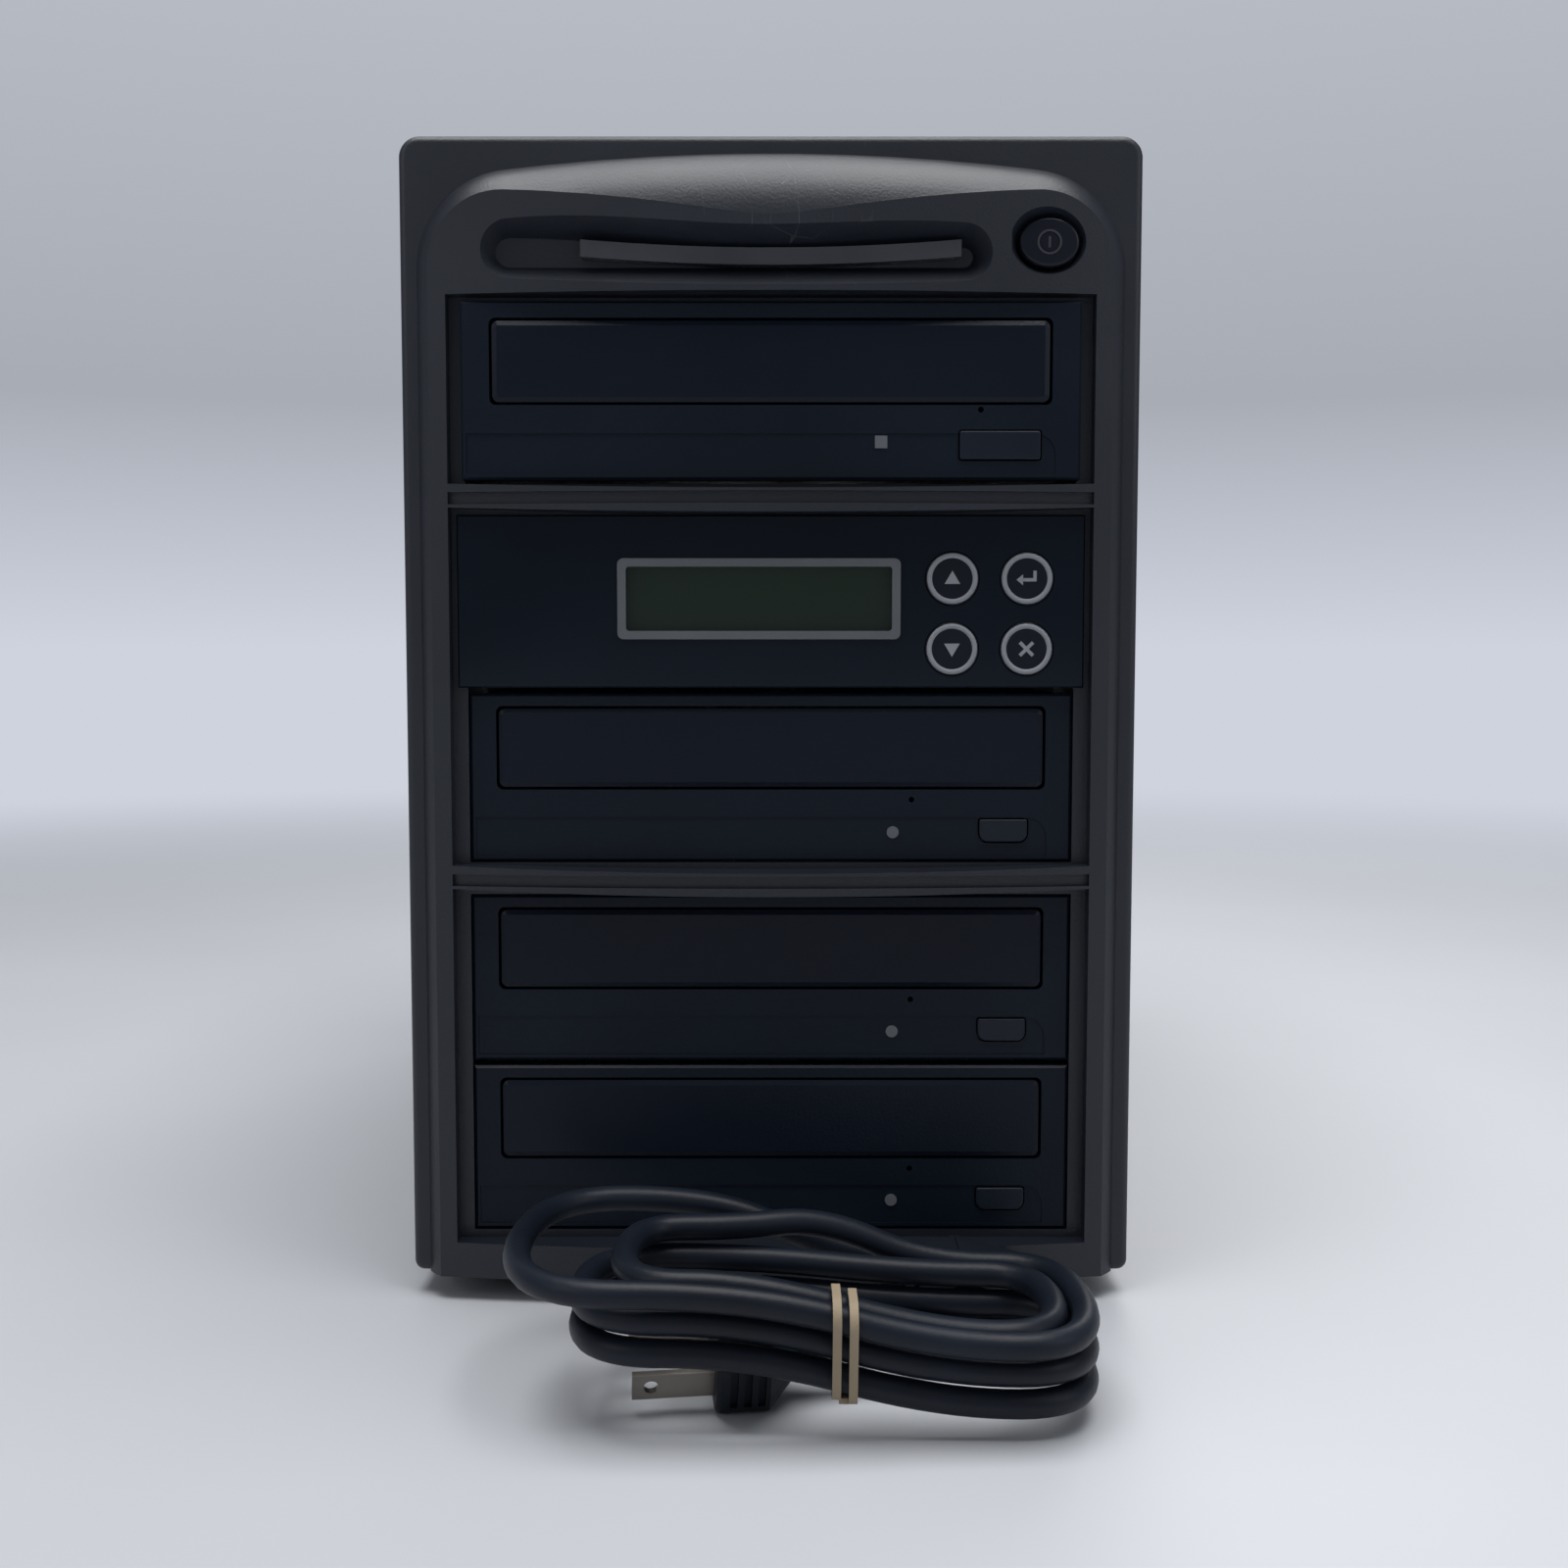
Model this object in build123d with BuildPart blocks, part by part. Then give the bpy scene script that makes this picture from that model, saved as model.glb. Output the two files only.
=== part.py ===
from build123d import *
import os
from math import atan2, cos, hypot, pi, radians, sin, sqrt

# An optical disc duplicator tower: one reading drive, a control panel and three writing drives
# in a steel case behind a moulded bezel, with its detached power cord tied in front of it.
# X runs to the right, Y towards the back and Z up, in millimetres, with the floor at zero
# and the origin under the middle of the case.

os.makedirs("parts", exist_ok=True)

# ---------------------------------------------------------------- driving dimensions

# the whole tower
tower_width = 180.0
tower_top = 286.0
tower_depth = 350.0
foot_height = 7.0
bezel_drop = 1.0
sheet = 1.0
slip = 0.3

# front bezel
hood_rise = 10.0
hood_bulge = 5.3
hood_roll = 18.0
hood_half_width = 85.8
hood_peak = 4.4
hood_shoulder_fall = 6.8
hood_shoulder_radius = 24.0
bezel_depth = 22.0
bezel_wall = 2.6
bezel_corner = 5.0
bezel_foot_corner = 2.5
bezel_edge_round = 1.8
frame_wall = 1.8
ledge_thickness = 2.5
opening_half_width = 78.2
opening_margin = 0.65
sill_drop = 2.2
lintel_rise = 1.4
bar_bow = 1.3
bar_groove_height = 2.9
bar_groove_depth = 1.5

# pocket and indicator lens in the hood
pocket_left = -70.5
pocket_right = 52.8
pocket_middle = -5.0
pocket_height = 15.1
pocket_right_drop = 2.3
pocket_sag = 4.2
pocket_above_opening = 2.9
pocket_depth = 6.5
pocket_draft = 0.62
pocket_wall = 1.8
lens_half_length = 45.6
lens_height = 4.0
lens_sag = 1.9
lens_rise = 5.8
lens_stand = 4.5
lens_root = 2.0

# power button
power_x = 66.7
power_above_opening = 12.2
power_width = 14.6
power_height = 12.0
power_gap = 0.3
power_mark_radius = 2.7
well_width = 19.2
well_height = 17.0
well_depth = 4.0
power_travel = 2.0
power_proud = 5.2
power_stem_radius = 2.5

# drive bays
bay_pitch = 43.0
group_gap = 7.0
first_bay_z = 17.0
bay_groups = (2, 2, 1)
panel_bay = 3

# drive fronts
fascia_width = 148.5
fascia_height = 41.5
fascia_depth = 5.0
fascia_wall = 2.2
fascia_bevel = 0.6
reader_forward = 5.0
reader_grow = 1.0
door_half_width = 67.1
door_low = 18.5
door_high = 37.8
door_gap = 0.7
door_thickness = 3.4
door_bevel = 1.2
door_corner = 1.6
door_proud = 0.4
button_gap = 0.35
button_proud = 0.5
button_travel = 0.8
burner_button = (57.55, 7.6, 11.9, 5.6)
reader_button = (55.3, 8.2, 19.5, 6.8)
burner_light = (30.2, 7.2)
reader_light = (26.6, 9.0)
light_size = 3.0
burner_hole = (34.8, 15.3)
reader_hole = (50.6, 16.7)
eject_hole_radius = 0.7
step_height = 11.0
step_depth = 0.3

# inside a drive
casing_width = 146.0
casing_height = 41.3
casing_depth = 170.0
casing_skin = 1.0
tray_half_width = 64.5
tray_length = 157.0
tray_bottom = 21.6
tray_plate_bottom = 24.4
tray_plate_top = 29.2
tray_rail_width = 5.0
disc_recess_radius = 60.75
disc_recess_depth = 1.8
small_recess_radius = 41.0
small_recess_depth = 1.2
disc_center = 66.0
tray_window_half = 21.0
deck_bottom = 3.0
deck_thickness = 2.0
deck_half_width = 70.0
rail_top = 21.3
spindle_top = 20.6
spindle_radius = 14.0
spindle_shaft_radius = 1.5
running_gap = 0.05
socket_block_width = 66.0
socket_block_depth = 12.0
socket_block_height = 14.0

# control panel
panel_width = 153.0
panel_height = 42.0
panel_thickness = 3.0
window_center_x = -2.9
window_center_z = 21.7
window_width = 64.9
window_height = 15.6
window_border = 2.1
key_radius = 6.5
key_gap = 0.2
key_travel = 0.5
key_column_left = 44.2
key_column_right = 62.4
key_row_low = 9.5
key_row_high = 26.6
board_thickness = 1.6

# steel case
cage_top = 246.0
cage_gap = 0.3
cage_length = 152.0
cover_gap = 1.0
cover_lip = 12.0
cover_top_lip = 5.0
pan_flange = 9.0
screw_head = 4.0
screw_head_radius = 4.5

# power supply and fans
psu_width = 150.0
psu_height = 86.0
psu_depth = 140.0
psu_roof_gap = 2.0
fan_size = 80.0
fan_thickness = 25.0
fan_bore_radius = 38.0
fan_hub_radius = 16.0
fan_tip_gap = 1.0
blade_count = 7
exhaust_height = 120.0
inlet_depth = 22.0
rocker_width = 12.6
rocker_height = 18.6
rocker_swing = 20.0

# detached power cord
cord_diameter = 6.0
loop_step = 6.76
hank_top = 31.8

# ---------------------------------------------------------------- shared places

front_y = -tower_depth / 2
rear_y = tower_depth / 2
rim_y = front_y + hood_rise
bezel_back_y = rim_y + bezel_depth
bezel_bottom = foot_height - bezel_drop
half_width = tower_width / 2

bay_z = []
opening_spans = []
next_bay_z = first_bay_z
for group_size in bay_groups:
    group_low = next_bay_z - opening_margin
    for place in range(group_size):
        bay_z.append(next_bay_z)
        next_bay_z += bay_pitch
    opening_spans.append([group_low, next_bay_z + opening_margin])
    next_bay_z += group_gap
opening_spans[0][0] = first_bay_z - sill_drop
opening_spans[-1][1] += lintel_rise - opening_margin
top_opening = opening_spans[-1][1]

casing_front_y = rim_y + fascia_depth
case_rear_y = rear_y - screw_head - sheet
case_half = half_width - cover_gap
pan_top = foot_height + sheet
cover_top = tower_top - cover_gap


def facing_front(y):
    """The upright plane at depth y, seen from the front: its X is X and its Y is Z."""
    return Plane.XZ.offset(-y)


# ---------------------------------------------------------------- front bezel

hood_plan_radius = (opening_half_width**2 + hood_bulge**2) / (2 * hood_bulge)
# the roll ends just proud of the hood's front, so the two surfaces cross instead of touching
roll_rise = hood_rise + 0.05
hood_roll_radius = (hood_roll**2 + roll_rise**2) / (2 * roll_rise)
hood_arch_radius = (hood_half_width**2 + hood_shoulder_fall**2) / (2 * hood_shoulder_fall)


def plan_drop(x):
    """How far the hood's front falls back from its crown at a distance x from the middle."""
    return hood_plan_radius - sqrt(hood_plan_radius**2 - x**2)


def roll_height(inset):
    """How far the hood stands forward at a distance inset from its crease."""
    return roll_rise - hood_roll_radius + sqrt(hood_roll_radius**2 - (hood_roll - inset) ** 2)


def hood_crease(side, base, inset):
    """The hood's outline without its foot: two upright sides, two round shoulders and one long arch."""
    arch_radius = hood_arch_radius - inset
    bend = hood_shoulder_radius - inset
    arch_z = tower_top - hood_peak - hood_arch_radius
    bend_x = side - bend
    bend_z = arch_z + sqrt((arch_radius - bend) ** 2 - bend_x**2)
    turn = atan2(bend_z - arch_z, bend_x)
    half_turn = turn / 2
    join = (arch_radius * cos(turn), arch_z + arch_radius * sin(turn))
    middle = (bend_x + bend * cos(half_turn), bend_z + bend * sin(half_turn))
    with BuildLine() as outline:
        Line((-side, base), (-side, bend_z))
        ThreePointArc((-side, bend_z), (-middle[0], middle[1]), (-join[0], join[1]))
        ThreePointArc((-join[0], join[1]), (0, arch_z + arch_radius), join)
        ThreePointArc(join, middle, (side, bend_z))
        Line((side, bend_z), (side, base))
    return outline.line


def hood_form(shrink, shift):
    """The raised middle of the bezel: an arched block whose front edge rolls back to its crease."""
    side = hood_half_width - shrink
    base = bezel_bottom + shrink
    foot_y = rim_y + shift
    crease = facing_front(foot_y) * hood_crease(side, base - 2, shrink)
    with BuildPart() as form:
        with BuildSketch(facing_front(foot_y)):
            with BuildLine():
                add(hood_crease(side, base, shrink))
                Line((side, base), (-side, base))
            make_face()
        extrude(amount=hood_rise)
        with BuildSketch(Plane.XY.offset(bezel_bottom)):
            with BuildLine():
                edge_y = front_y + shift + plan_drop(half_width)
                ThreePointArc((-half_width, edge_y), (0, front_y + shift), (half_width, edge_y))
                Polyline(
                    (half_width, edge_y),
                    (half_width, foot_y),
                    (-half_width, foot_y),
                    (-half_width, edge_y),
                )
            make_face()
        extrude(amount=tower_top - bezel_bottom, mode=Mode.INTERSECT)
        crease_start = Vector(-side, foot_y, base - 2)
        with BuildSketch(Plane(crease_start, x_dir=(1, 0, 0), z_dir=(0, 0, 1))):
            with BuildLine():
                ThreePointArc(
                    (0, 0),
                    (hood_roll / 2, -roll_height(hood_roll / 2)),
                    (hood_roll, -roll_rise),
                )
                Polyline(
                    (hood_roll, -roll_rise),
                    (hood_roll, -roll_rise - 4),
                    (-1, -roll_rise - 4),
                    (-1, 0),
                    (0, 0),
                )
            make_face()
        sweep(path=crease.wires()[0], mode=Mode.SUBTRACT)
    return form.part


def opening_outline(low, high, grow):
    """One bezel opening, with both long edges bowed down a little in the middle."""
    half = opening_half_width + grow
    bottom = low - grow
    top = high + grow
    sill_bow = 0 if low < first_bay_z else bar_bow
    lintel_bow = 0 if high == top_opening else bar_bow
    with BuildLine() as outline:
        if sill_bow:
            ThreePointArc((-half, bottom), (0, bottom - sill_bow), (half, bottom))
        else:
            Line((-half, bottom), (half, bottom))
        Line((half, bottom), (half, top))
        if lintel_bow:
            ThreePointArc((half, top), (0, top - lintel_bow), (-half, top))
        else:
            Line((half, top), (-half, top))
        Line((-half, top), (-half, bottom))
    return outline.line


def pocket_outline(inset):
    """The finger pocket: round ends of two heights and an upper edge that sags between them."""
    low = top_opening + pocket_above_opening + inset
    left_top = low + pocket_height - 2 * inset
    right_top = left_top - pocket_right_drop
    left_radius = (left_top - low) / 2
    right_radius = (right_top - low) / 2
    left = pocket_left + inset + left_radius
    right = pocket_right - inset - right_radius
    with BuildLine() as outline:
        Line((left, low), (right, low))
        ThreePointArc((right, low), (right + right_radius, low + right_radius), (right, right_top))
        Spline(
            (right, right_top),
            (pocket_middle, left_top - pocket_sag),
            (left, left_top),
            tangents=[(-1, 0), (-1, 0)],
        )
        ThreePointArc((left, left_top), (left - left_radius, low + left_radius), (left, low))
    return outline.line


pocket_back_y = rim_y - hood_rise + hood_rise / 4 + pocket_depth
lens_bottom = top_opening + pocket_above_opening + lens_rise
lens_front_y = pocket_back_y - lens_stand
power_z = top_opening + power_above_opening
well_front_y = front_y + plan_drop(power_x) - 1.0
well_back_y = well_front_y + 1.0 + well_depth
boss_radius = 3.2
boss_x = half_width - 7.6
boss_spots = [(-boss_x, bezel_bottom + 20), (boss_x, bezel_bottom + 20)]
boss_spots += [(-boss_x, tower_top - 12), (boss_x, tower_top - 12)]
switch_boss_radius = 2.5
switch_boss_reach = 11.5
switch_plate_y = rim_y + 6.0

with BuildPart() as bezel_form:
    with BuildSketch(facing_front(rim_y)):
        with Locations((0, (bezel_bottom + tower_top) / 2)):
            Rectangle(tower_width, tower_top - bezel_bottom)
    extrude(amount=-bezel_depth)
    fillet(bezel_form.edges().filter_by(Axis.Y).group_by(Axis.Z)[-1], bezel_corner)
    fillet(bezel_form.edges().filter_by(Axis.Y).group_by(Axis.Z)[0], bezel_foot_corner)
    fillet(bezel_form.faces().sort_by(Axis.Y)[0].edges(), bezel_edge_round)
    add(hood_form(0, 0))

with BuildPart() as bezel_cavity:
    with BuildSketch(facing_front(bezel_back_y)):
        with Locations((0, (bezel_bottom + tower_top) / 2)):
            RectangleRounded(
                tower_width - 2 * bezel_wall, tower_top - bezel_bottom - 2 * bezel_wall, bezel_corner - bezel_wall
            )
    extrude(amount=bezel_depth - bezel_wall)
    add(hood_form(bezel_wall, bezel_wall))

with BuildPart() as bezel_ribs:
    for low, high in opening_spans:
        with BuildSketch(facing_front(rim_y + ledge_thickness)):
            add(opening_outline(low, high, frame_wall))
            make_face()
        extrude(amount=ledge_thickness + hood_rise)
    with BuildSketch(facing_front(pocket_back_y + pocket_wall)):
        add(pocket_outline(-pocket_wall))
        make_face()
    extrude(amount=pocket_back_y + pocket_wall - front_y)
    with BuildSketch(facing_front(well_back_y + pocket_wall)):
        with Locations((power_x, power_z)):
            Ellipse(well_width / 2 + pocket_wall, well_height / 2 + pocket_wall)
    extrude(amount=well_back_y + pocket_wall - front_y)
    with BuildSketch(facing_front(switch_plate_y)):
        with Locations((power_x - switch_boss_reach, power_z), (power_x + switch_boss_reach, power_z)):
            Circle(switch_boss_radius)
    extrude(amount=switch_plate_y - well_back_y)
    with BuildSketch(facing_front(bezel_back_y)):
        with Locations(*boss_spots):
            Circle(boss_radius)
    extrude(amount=bezel_depth - bezel_wall / 2)
    add(bezel_form.part, mode=Mode.INTERSECT)

with BuildPart() as indicator_lens:
    with BuildSketch(facing_front(lens_front_y)):
        with BuildLine():
            lens_top = lens_bottom + lens_height
            ThreePointArc(
                (-lens_half_length, lens_bottom), (0, lens_bottom - lens_sag), (lens_half_length, lens_bottom)
            )
            Line((lens_half_length, lens_bottom), (lens_half_length, lens_top))
            ThreePointArc((lens_half_length, lens_top), (0, lens_top - lens_sag), (-lens_half_length, lens_top))
            Line((-lens_half_length, lens_top), (-lens_half_length, lens_bottom))
        make_face()
    extrude(amount=-(lens_stand + lens_root))
indicator_lens.part.label = "indicator_lens"
export_step(indicator_lens.part, "parts/indicator_lens.step")

with BuildPart() as front_bezel:
    add(bezel_form.part)
    add(bezel_cavity.part, mode=Mode.SUBTRACT)
    add(bezel_ribs.part)
    for low, high in opening_spans:
        with BuildSketch(facing_front(rim_y)):
            add(opening_outline(low, high, 0))
            make_face()
        extrude(amount=2 * hood_rise, mode=Mode.SUBTRACT)
    for index, (low, high) in enumerate(opening_spans):
        first = sum(bay_groups[:index])
        ledge_low = bay_z[first] - slip
        ledge_high = bay_z[first + bay_groups[index] - 1] + fascia_height + slip
        with BuildSketch(facing_front(bezel_back_y)):
            with Locations((0, (ledge_low + ledge_high) / 2)):
                Rectangle(fascia_width + 2 * slip, ledge_high - ledge_low)
        extrude(amount=bezel_depth + hood_rise, mode=Mode.SUBTRACT)
    for lower, upper in zip(opening_spans, opening_spans[1:]):
        groove_z = (lower[1] + upper[0]) / 2
        with BuildSketch(Plane.XY.offset(groove_z - bar_bow / 2 - bar_groove_height / 2)):
            with BuildLine():
                groove_edge = front_y + plan_drop(opening_half_width)
                ThreePointArc(
                    (-opening_half_width, groove_edge + bar_groove_depth),
                    (0, front_y + bar_groove_depth),
                    (opening_half_width, groove_edge + bar_groove_depth),
                )
                Polyline(
                    (opening_half_width, groove_edge + bar_groove_depth),
                    (opening_half_width, front_y - 1),
                    (-opening_half_width, front_y - 1),
                    (-opening_half_width, groove_edge + bar_groove_depth),
                )
            make_face()
        extrude(amount=bar_groove_height, mode=Mode.SUBTRACT)
    for reach in (0, pocket_depth + 2 * pocket_wall):
        with BuildSketch(facing_front(pocket_back_y - reach)):
            add(pocket_outline(pocket_draft * (pocket_depth - reach)))
            make_face()
    loft(mode=Mode.SUBTRACT)
    with BuildSketch(facing_front(well_front_y)):
        with Locations((power_x, power_z)):
            Ellipse(well_width / 2, well_height / 2)
    with BuildSketch(facing_front(well_back_y)):
        with Locations((power_x, power_z)):
            Ellipse(power_width / 2 + power_gap, power_height / 2 + power_gap)
    loft(mode=Mode.SUBTRACT)
    with BuildSketch(facing_front(well_back_y - 0.01)):
        with Locations((power_x, power_z)):
            Ellipse(power_width / 2 + power_gap, power_height / 2 + power_gap)
    extrude(amount=-bezel_depth, mode=Mode.SUBTRACT)
    add(indicator_lens.part, mode=Mode.SUBTRACT)
front_bezel.part.label = "front_bezel"
export_step(front_bezel.part, "parts/front_bezel.step")

# ---------------------------------------------------------------- power button and its switch

stem_end_y = switch_plate_y + power_travel
flange_y = well_back_y + pocket_wall + 0.2
flange_grow = 1.2

with BuildPart() as power_button:
    with BuildSketch(facing_front(rim_y - power_proud)):
        with Locations((power_x, power_z)):
            Ellipse(power_width / 2, power_height / 2)
    extrude(amount=-(flange_y + flange_grow - rim_y + power_proud))
    fillet(power_button.faces().sort_by(Axis.Y)[0].edges(), 1.0)
    with BuildSketch(facing_front(rim_y - power_proud)):
        with Locations((power_x, power_z)):
            Circle(power_mark_radius)
            Circle(power_mark_radius - 0.5, mode=Mode.SUBTRACT)
    extrude(amount=-0.3, mode=Mode.SUBTRACT)
    with BuildSketch(facing_front(flange_y)):
        with Locations((power_x, power_z)):
            Ellipse(power_width / 2 + flange_grow, power_height / 2 + flange_grow)
    extrude(amount=-flange_grow)
    with BuildSketch(facing_front(flange_y)):
        with Locations((power_x, power_z)):
            Circle(power_stem_radius)
    extrude(amount=-(stem_end_y - flange_y))
power_button.part.label = "power_button"
export_step(power_button.part, "parts/power_button.step")

switch_length = 11.0
switch_half_width = 8.0
switch_half_height = 6.5
switch_plate = 1.5

with BuildPart() as power_switch:
    with BuildSketch(facing_front(switch_plate_y)):
        with Locations((power_x, power_z)):
            SlotOverall(2 * (switch_boss_reach + switch_boss_radius), 2 * switch_boss_radius + 2)
            Rectangle(2 * switch_half_width, 2 * switch_half_height)
    extrude(amount=-switch_plate)
    with BuildSketch(facing_front(switch_plate_y + switch_plate)):
        with Locations((power_x, power_z)):
            Rectangle(2 * switch_half_width, 2 * switch_half_height)
    extrude(amount=-switch_length)
    with BuildSketch(facing_front(switch_plate_y)):
        with Locations((power_x, power_z)):
            Circle(power_stem_radius + slip)
    extrude(amount=-(2 * power_travel + 1), mode=Mode.SUBTRACT)
    with BuildSketch(facing_front(switch_plate_y + switch_plate + switch_length)):
        with Locations((power_x - 4, power_z), (power_x + 4, power_z)):
            Rectangle(0.8, 5)
    extrude(amount=-3)
power_switch.part.label = "power_switch"
export_step(power_switch.part, "parts/power_switch.step")

# ---------------------------------------------------------------- optical drives


def button_outline(button, grow, low_radius):
    """An eject button's outline: a flat top with small corners over rounder lower corners."""
    center_x, center_z, width, height = button
    left = center_x - width / 2 - grow
    right = center_x + width / 2 + grow
    low = center_z - height / 2 - grow
    high = center_z + height / 2 + grow
    with BuildLine() as outline:
        FilletPolyline(
            (left, low),
            (right, low),
            (right, high),
            (left, high),
            radius=[low_radius + grow, low_radius + grow, 0.5 + grow, 0.5 + grow],
            close=True,
        )
    return outline.line


drive_fronts = [
    {
        "z": bay_z[bay],
        "y": rim_y,
        "grow": 0.0,
        "button": burner_button,
        "corner": 2.2,
        "light": burner_light,
        "round_light": True,
        "hole": burner_hole,
    }
    for bay in range(panel_bay)
]
drive_fronts.append(
    {
        "z": bay_z[panel_bay + 1] + slip,
        "y": rim_y - reader_forward,
        "grow": reader_grow,
        "button": reader_button,
        "corner": 0.6,
        "light": reader_light,
        "round_light": False,
        "hole": reader_hole,
    }
)

door_height = door_high - door_low
door_mid = (door_high + door_low) / 2
door_back = door_thickness - door_proud
collar = 1.4
flange_thickness = 0.9
switch_gap = 0.4
stem_reach = 8.0
tray_wall = 3.0
tray_wall_top = door_high - 1.6
spindle_place = door_back + tray_wall + disc_center
deck_start = 3.0
deck_end = 5.0
channel_wall = 2.0
channel_height = 31.4
channel_lip = 4.0
screw_radius = 1.5
side_screw_z = 10.0
side_screw_ys = (bezel_back_y + 35, bezel_back_y + 110)
screw_head_thickness = 1.8
small_head_radius = 2.8

for number, front in enumerate(drive_fronts, start=1):
    base = front["z"]
    face_y = front["y"]
    width = fascia_width + front["grow"]
    height = fascia_height + front["grow"]
    button_x, button_z, button_width, button_height = front["button"]
    button = (button_x, base + button_z, button_width, button_height)
    light_spot = (front["light"][0], base + front["light"][1])
    casing_y = face_y + fascia_depth

    with BuildPart() as fascia:
        with BuildSketch(facing_front(face_y)):
            with Locations((0, base + height / 2)):
                Rectangle(width, height)
        extrude(amount=-fascia_depth)
        chamfer(fascia.faces().sort_by(Axis.Y)[0].edges(), fascia_bevel)
        with BuildSketch(facing_front(face_y + fascia_depth)):
            with Locations((0, base + height / 2)):
                Rectangle(width - 2 * fascia_wall, height - 2 * fascia_wall)
        extrude(amount=fascia_depth - fascia_wall, mode=Mode.SUBTRACT)
        with BuildSketch(facing_front(face_y + fascia_wall)):
            with Locations((0, base + door_mid)):
                Rectangle(2 * (door_half_width + door_gap + collar), door_height + 2 * (door_gap + collar))
        extrude(amount=-(fascia_depth - fascia_wall))
        with BuildSketch(facing_front(face_y - 1)):
            with Locations((0, base + door_mid)):
                RectangleRounded(2 * (door_half_width + door_gap), door_height + 2 * door_gap, door_corner)
        extrude(amount=-(fascia_depth + 2), mode=Mode.SUBTRACT)
        with BuildSketch(facing_front(face_y)):
            step_right = width / 2 - 6
            with BuildLine():
                Polyline(
                    (step_right - 5, base + step_height),
                    (-width / 2 + 1.2, base + step_height),
                    (-width / 2 + 1.2, base + 1.4),
                    (step_right, base + 1.4),
                    (step_right, base + step_height - 5),
                )
                ThreePointArc(
                    (step_right, base + step_height - 5),
                    (step_right - 1.5, base + step_height - 1.5),
                    (step_right - 5, base + step_height),
                )
            make_face()
        extrude(amount=-step_depth, mode=Mode.SUBTRACT)
        with BuildSketch(facing_front(face_y - 1)):
            add(button_outline(button, button_gap, front["corner"]))
            make_face()
            with Locations(light_spot):
                if front["round_light"]:
                    Circle(light_size / 2)
                else:
                    Rectangle(light_size, light_size)
            with Locations((front["hole"][0], base + front["hole"][1])):
                Circle(eject_hole_radius)
        extrude(amount=-(fascia_depth + 2), mode=Mode.SUBTRACT)
    fascia.part.label = f"drive_{number}_fascia"
    export_step(fascia.part, f"parts/drive_{number}_fascia.step")

    with BuildPart() as eject_button:
        with BuildSketch(facing_front(face_y - button_proud)):
            add(button_outline(button, 0, front["corner"]))
            make_face()
        extrude(amount=-(button_proud + fascia_wall + 0.1))
        fillet(eject_button.faces().sort_by(Axis.Y)[0].edges(), 0.4)
        with BuildSketch(facing_front(face_y + fascia_wall + 0.1)):
            with Locations((button_x, button[1] + 0.3)):
                Rectangle(button_width + 1.6, button_height + 0.6)
        extrude(amount=-flange_thickness)
        with BuildSketch(facing_front(face_y + fascia_wall)):
            with Locations((button_x, button[1])):
                Circle(1.2)
        extrude(amount=-(stem_reach - fascia_wall))
    eject_button.part.label = f"drive_{number}_eject_button"
    export_step(eject_button.part, f"parts/drive_{number}_eject_button.step")

    with BuildPart() as tray_door:
        with BuildSketch(facing_front(face_y - door_proud)):
            with Locations((0, base + door_mid)):
                RectangleRounded(2 * door_half_width, door_height, door_corner)
        extrude(amount=-door_thickness)
        chamfer(tray_door.faces().sort_by(Axis.Y)[0].edges(), door_bevel / 2, door_bevel)
    tray_door.part.label = f"drive_{number}_tray_door"
    export_step(tray_door.part, f"parts/drive_{number}_tray_door.step")

    tray_y = face_y + door_back
    disc_y = face_y + spindle_place
    with BuildPart() as tray:
        with BuildSketch(Plane.XY.offset(base + tray_plate_bottom)):
            with Locations((0, tray_y + tray_length / 2)):
                Rectangle(2 * tray_half_width, tray_length)
        extrude(amount=tray_plate_top - tray_plate_bottom)
        with BuildSketch(Plane.XY.offset(base + tray_bottom)):
            rail_x = tray_half_width - tray_rail_width / 2
            with Locations((-rail_x, tray_y + tray_length / 2), (rail_x, tray_y + tray_length / 2)):
                Rectangle(tray_rail_width, tray_length)
        extrude(amount=tray_plate_bottom - tray_bottom)
        with BuildSketch(facing_front(tray_y)):
            with Locations((0, base + (tray_bottom + tray_wall_top) / 2)):
                Rectangle(2 * tray_half_width, tray_wall_top - tray_bottom)
        extrude(amount=-tray_wall)
        with BuildSketch(Plane.XY.offset(base + tray_plate_top)):
            with Locations((0, disc_y)):
                Circle(disc_recess_radius)
        extrude(amount=-disc_recess_depth, mode=Mode.SUBTRACT)
        with BuildSketch(Plane.XY.offset(base + tray_plate_top - disc_recess_depth)):
            with Locations((0, disc_y)):
                Circle(small_recess_radius)
        extrude(amount=-small_recess_depth, mode=Mode.SUBTRACT)
        with BuildSketch(Plane.XY.offset(base + tray_plate_top)):
            window_end = tray_y + tray_length - 12
            with Locations((0, disc_y)):
                Circle(tray_window_half)
            with Locations((0, (disc_y + window_end) / 2)):
                Rectangle(2 * tray_window_half, window_end - disc_y)
        extrude(amount=-(tray_plate_top - tray_plate_bottom), mode=Mode.SUBTRACT)
    tray.part.label = f"drive_{number}_tray"
    export_step(tray.part, f"parts/drive_{number}_tray.step")

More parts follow.
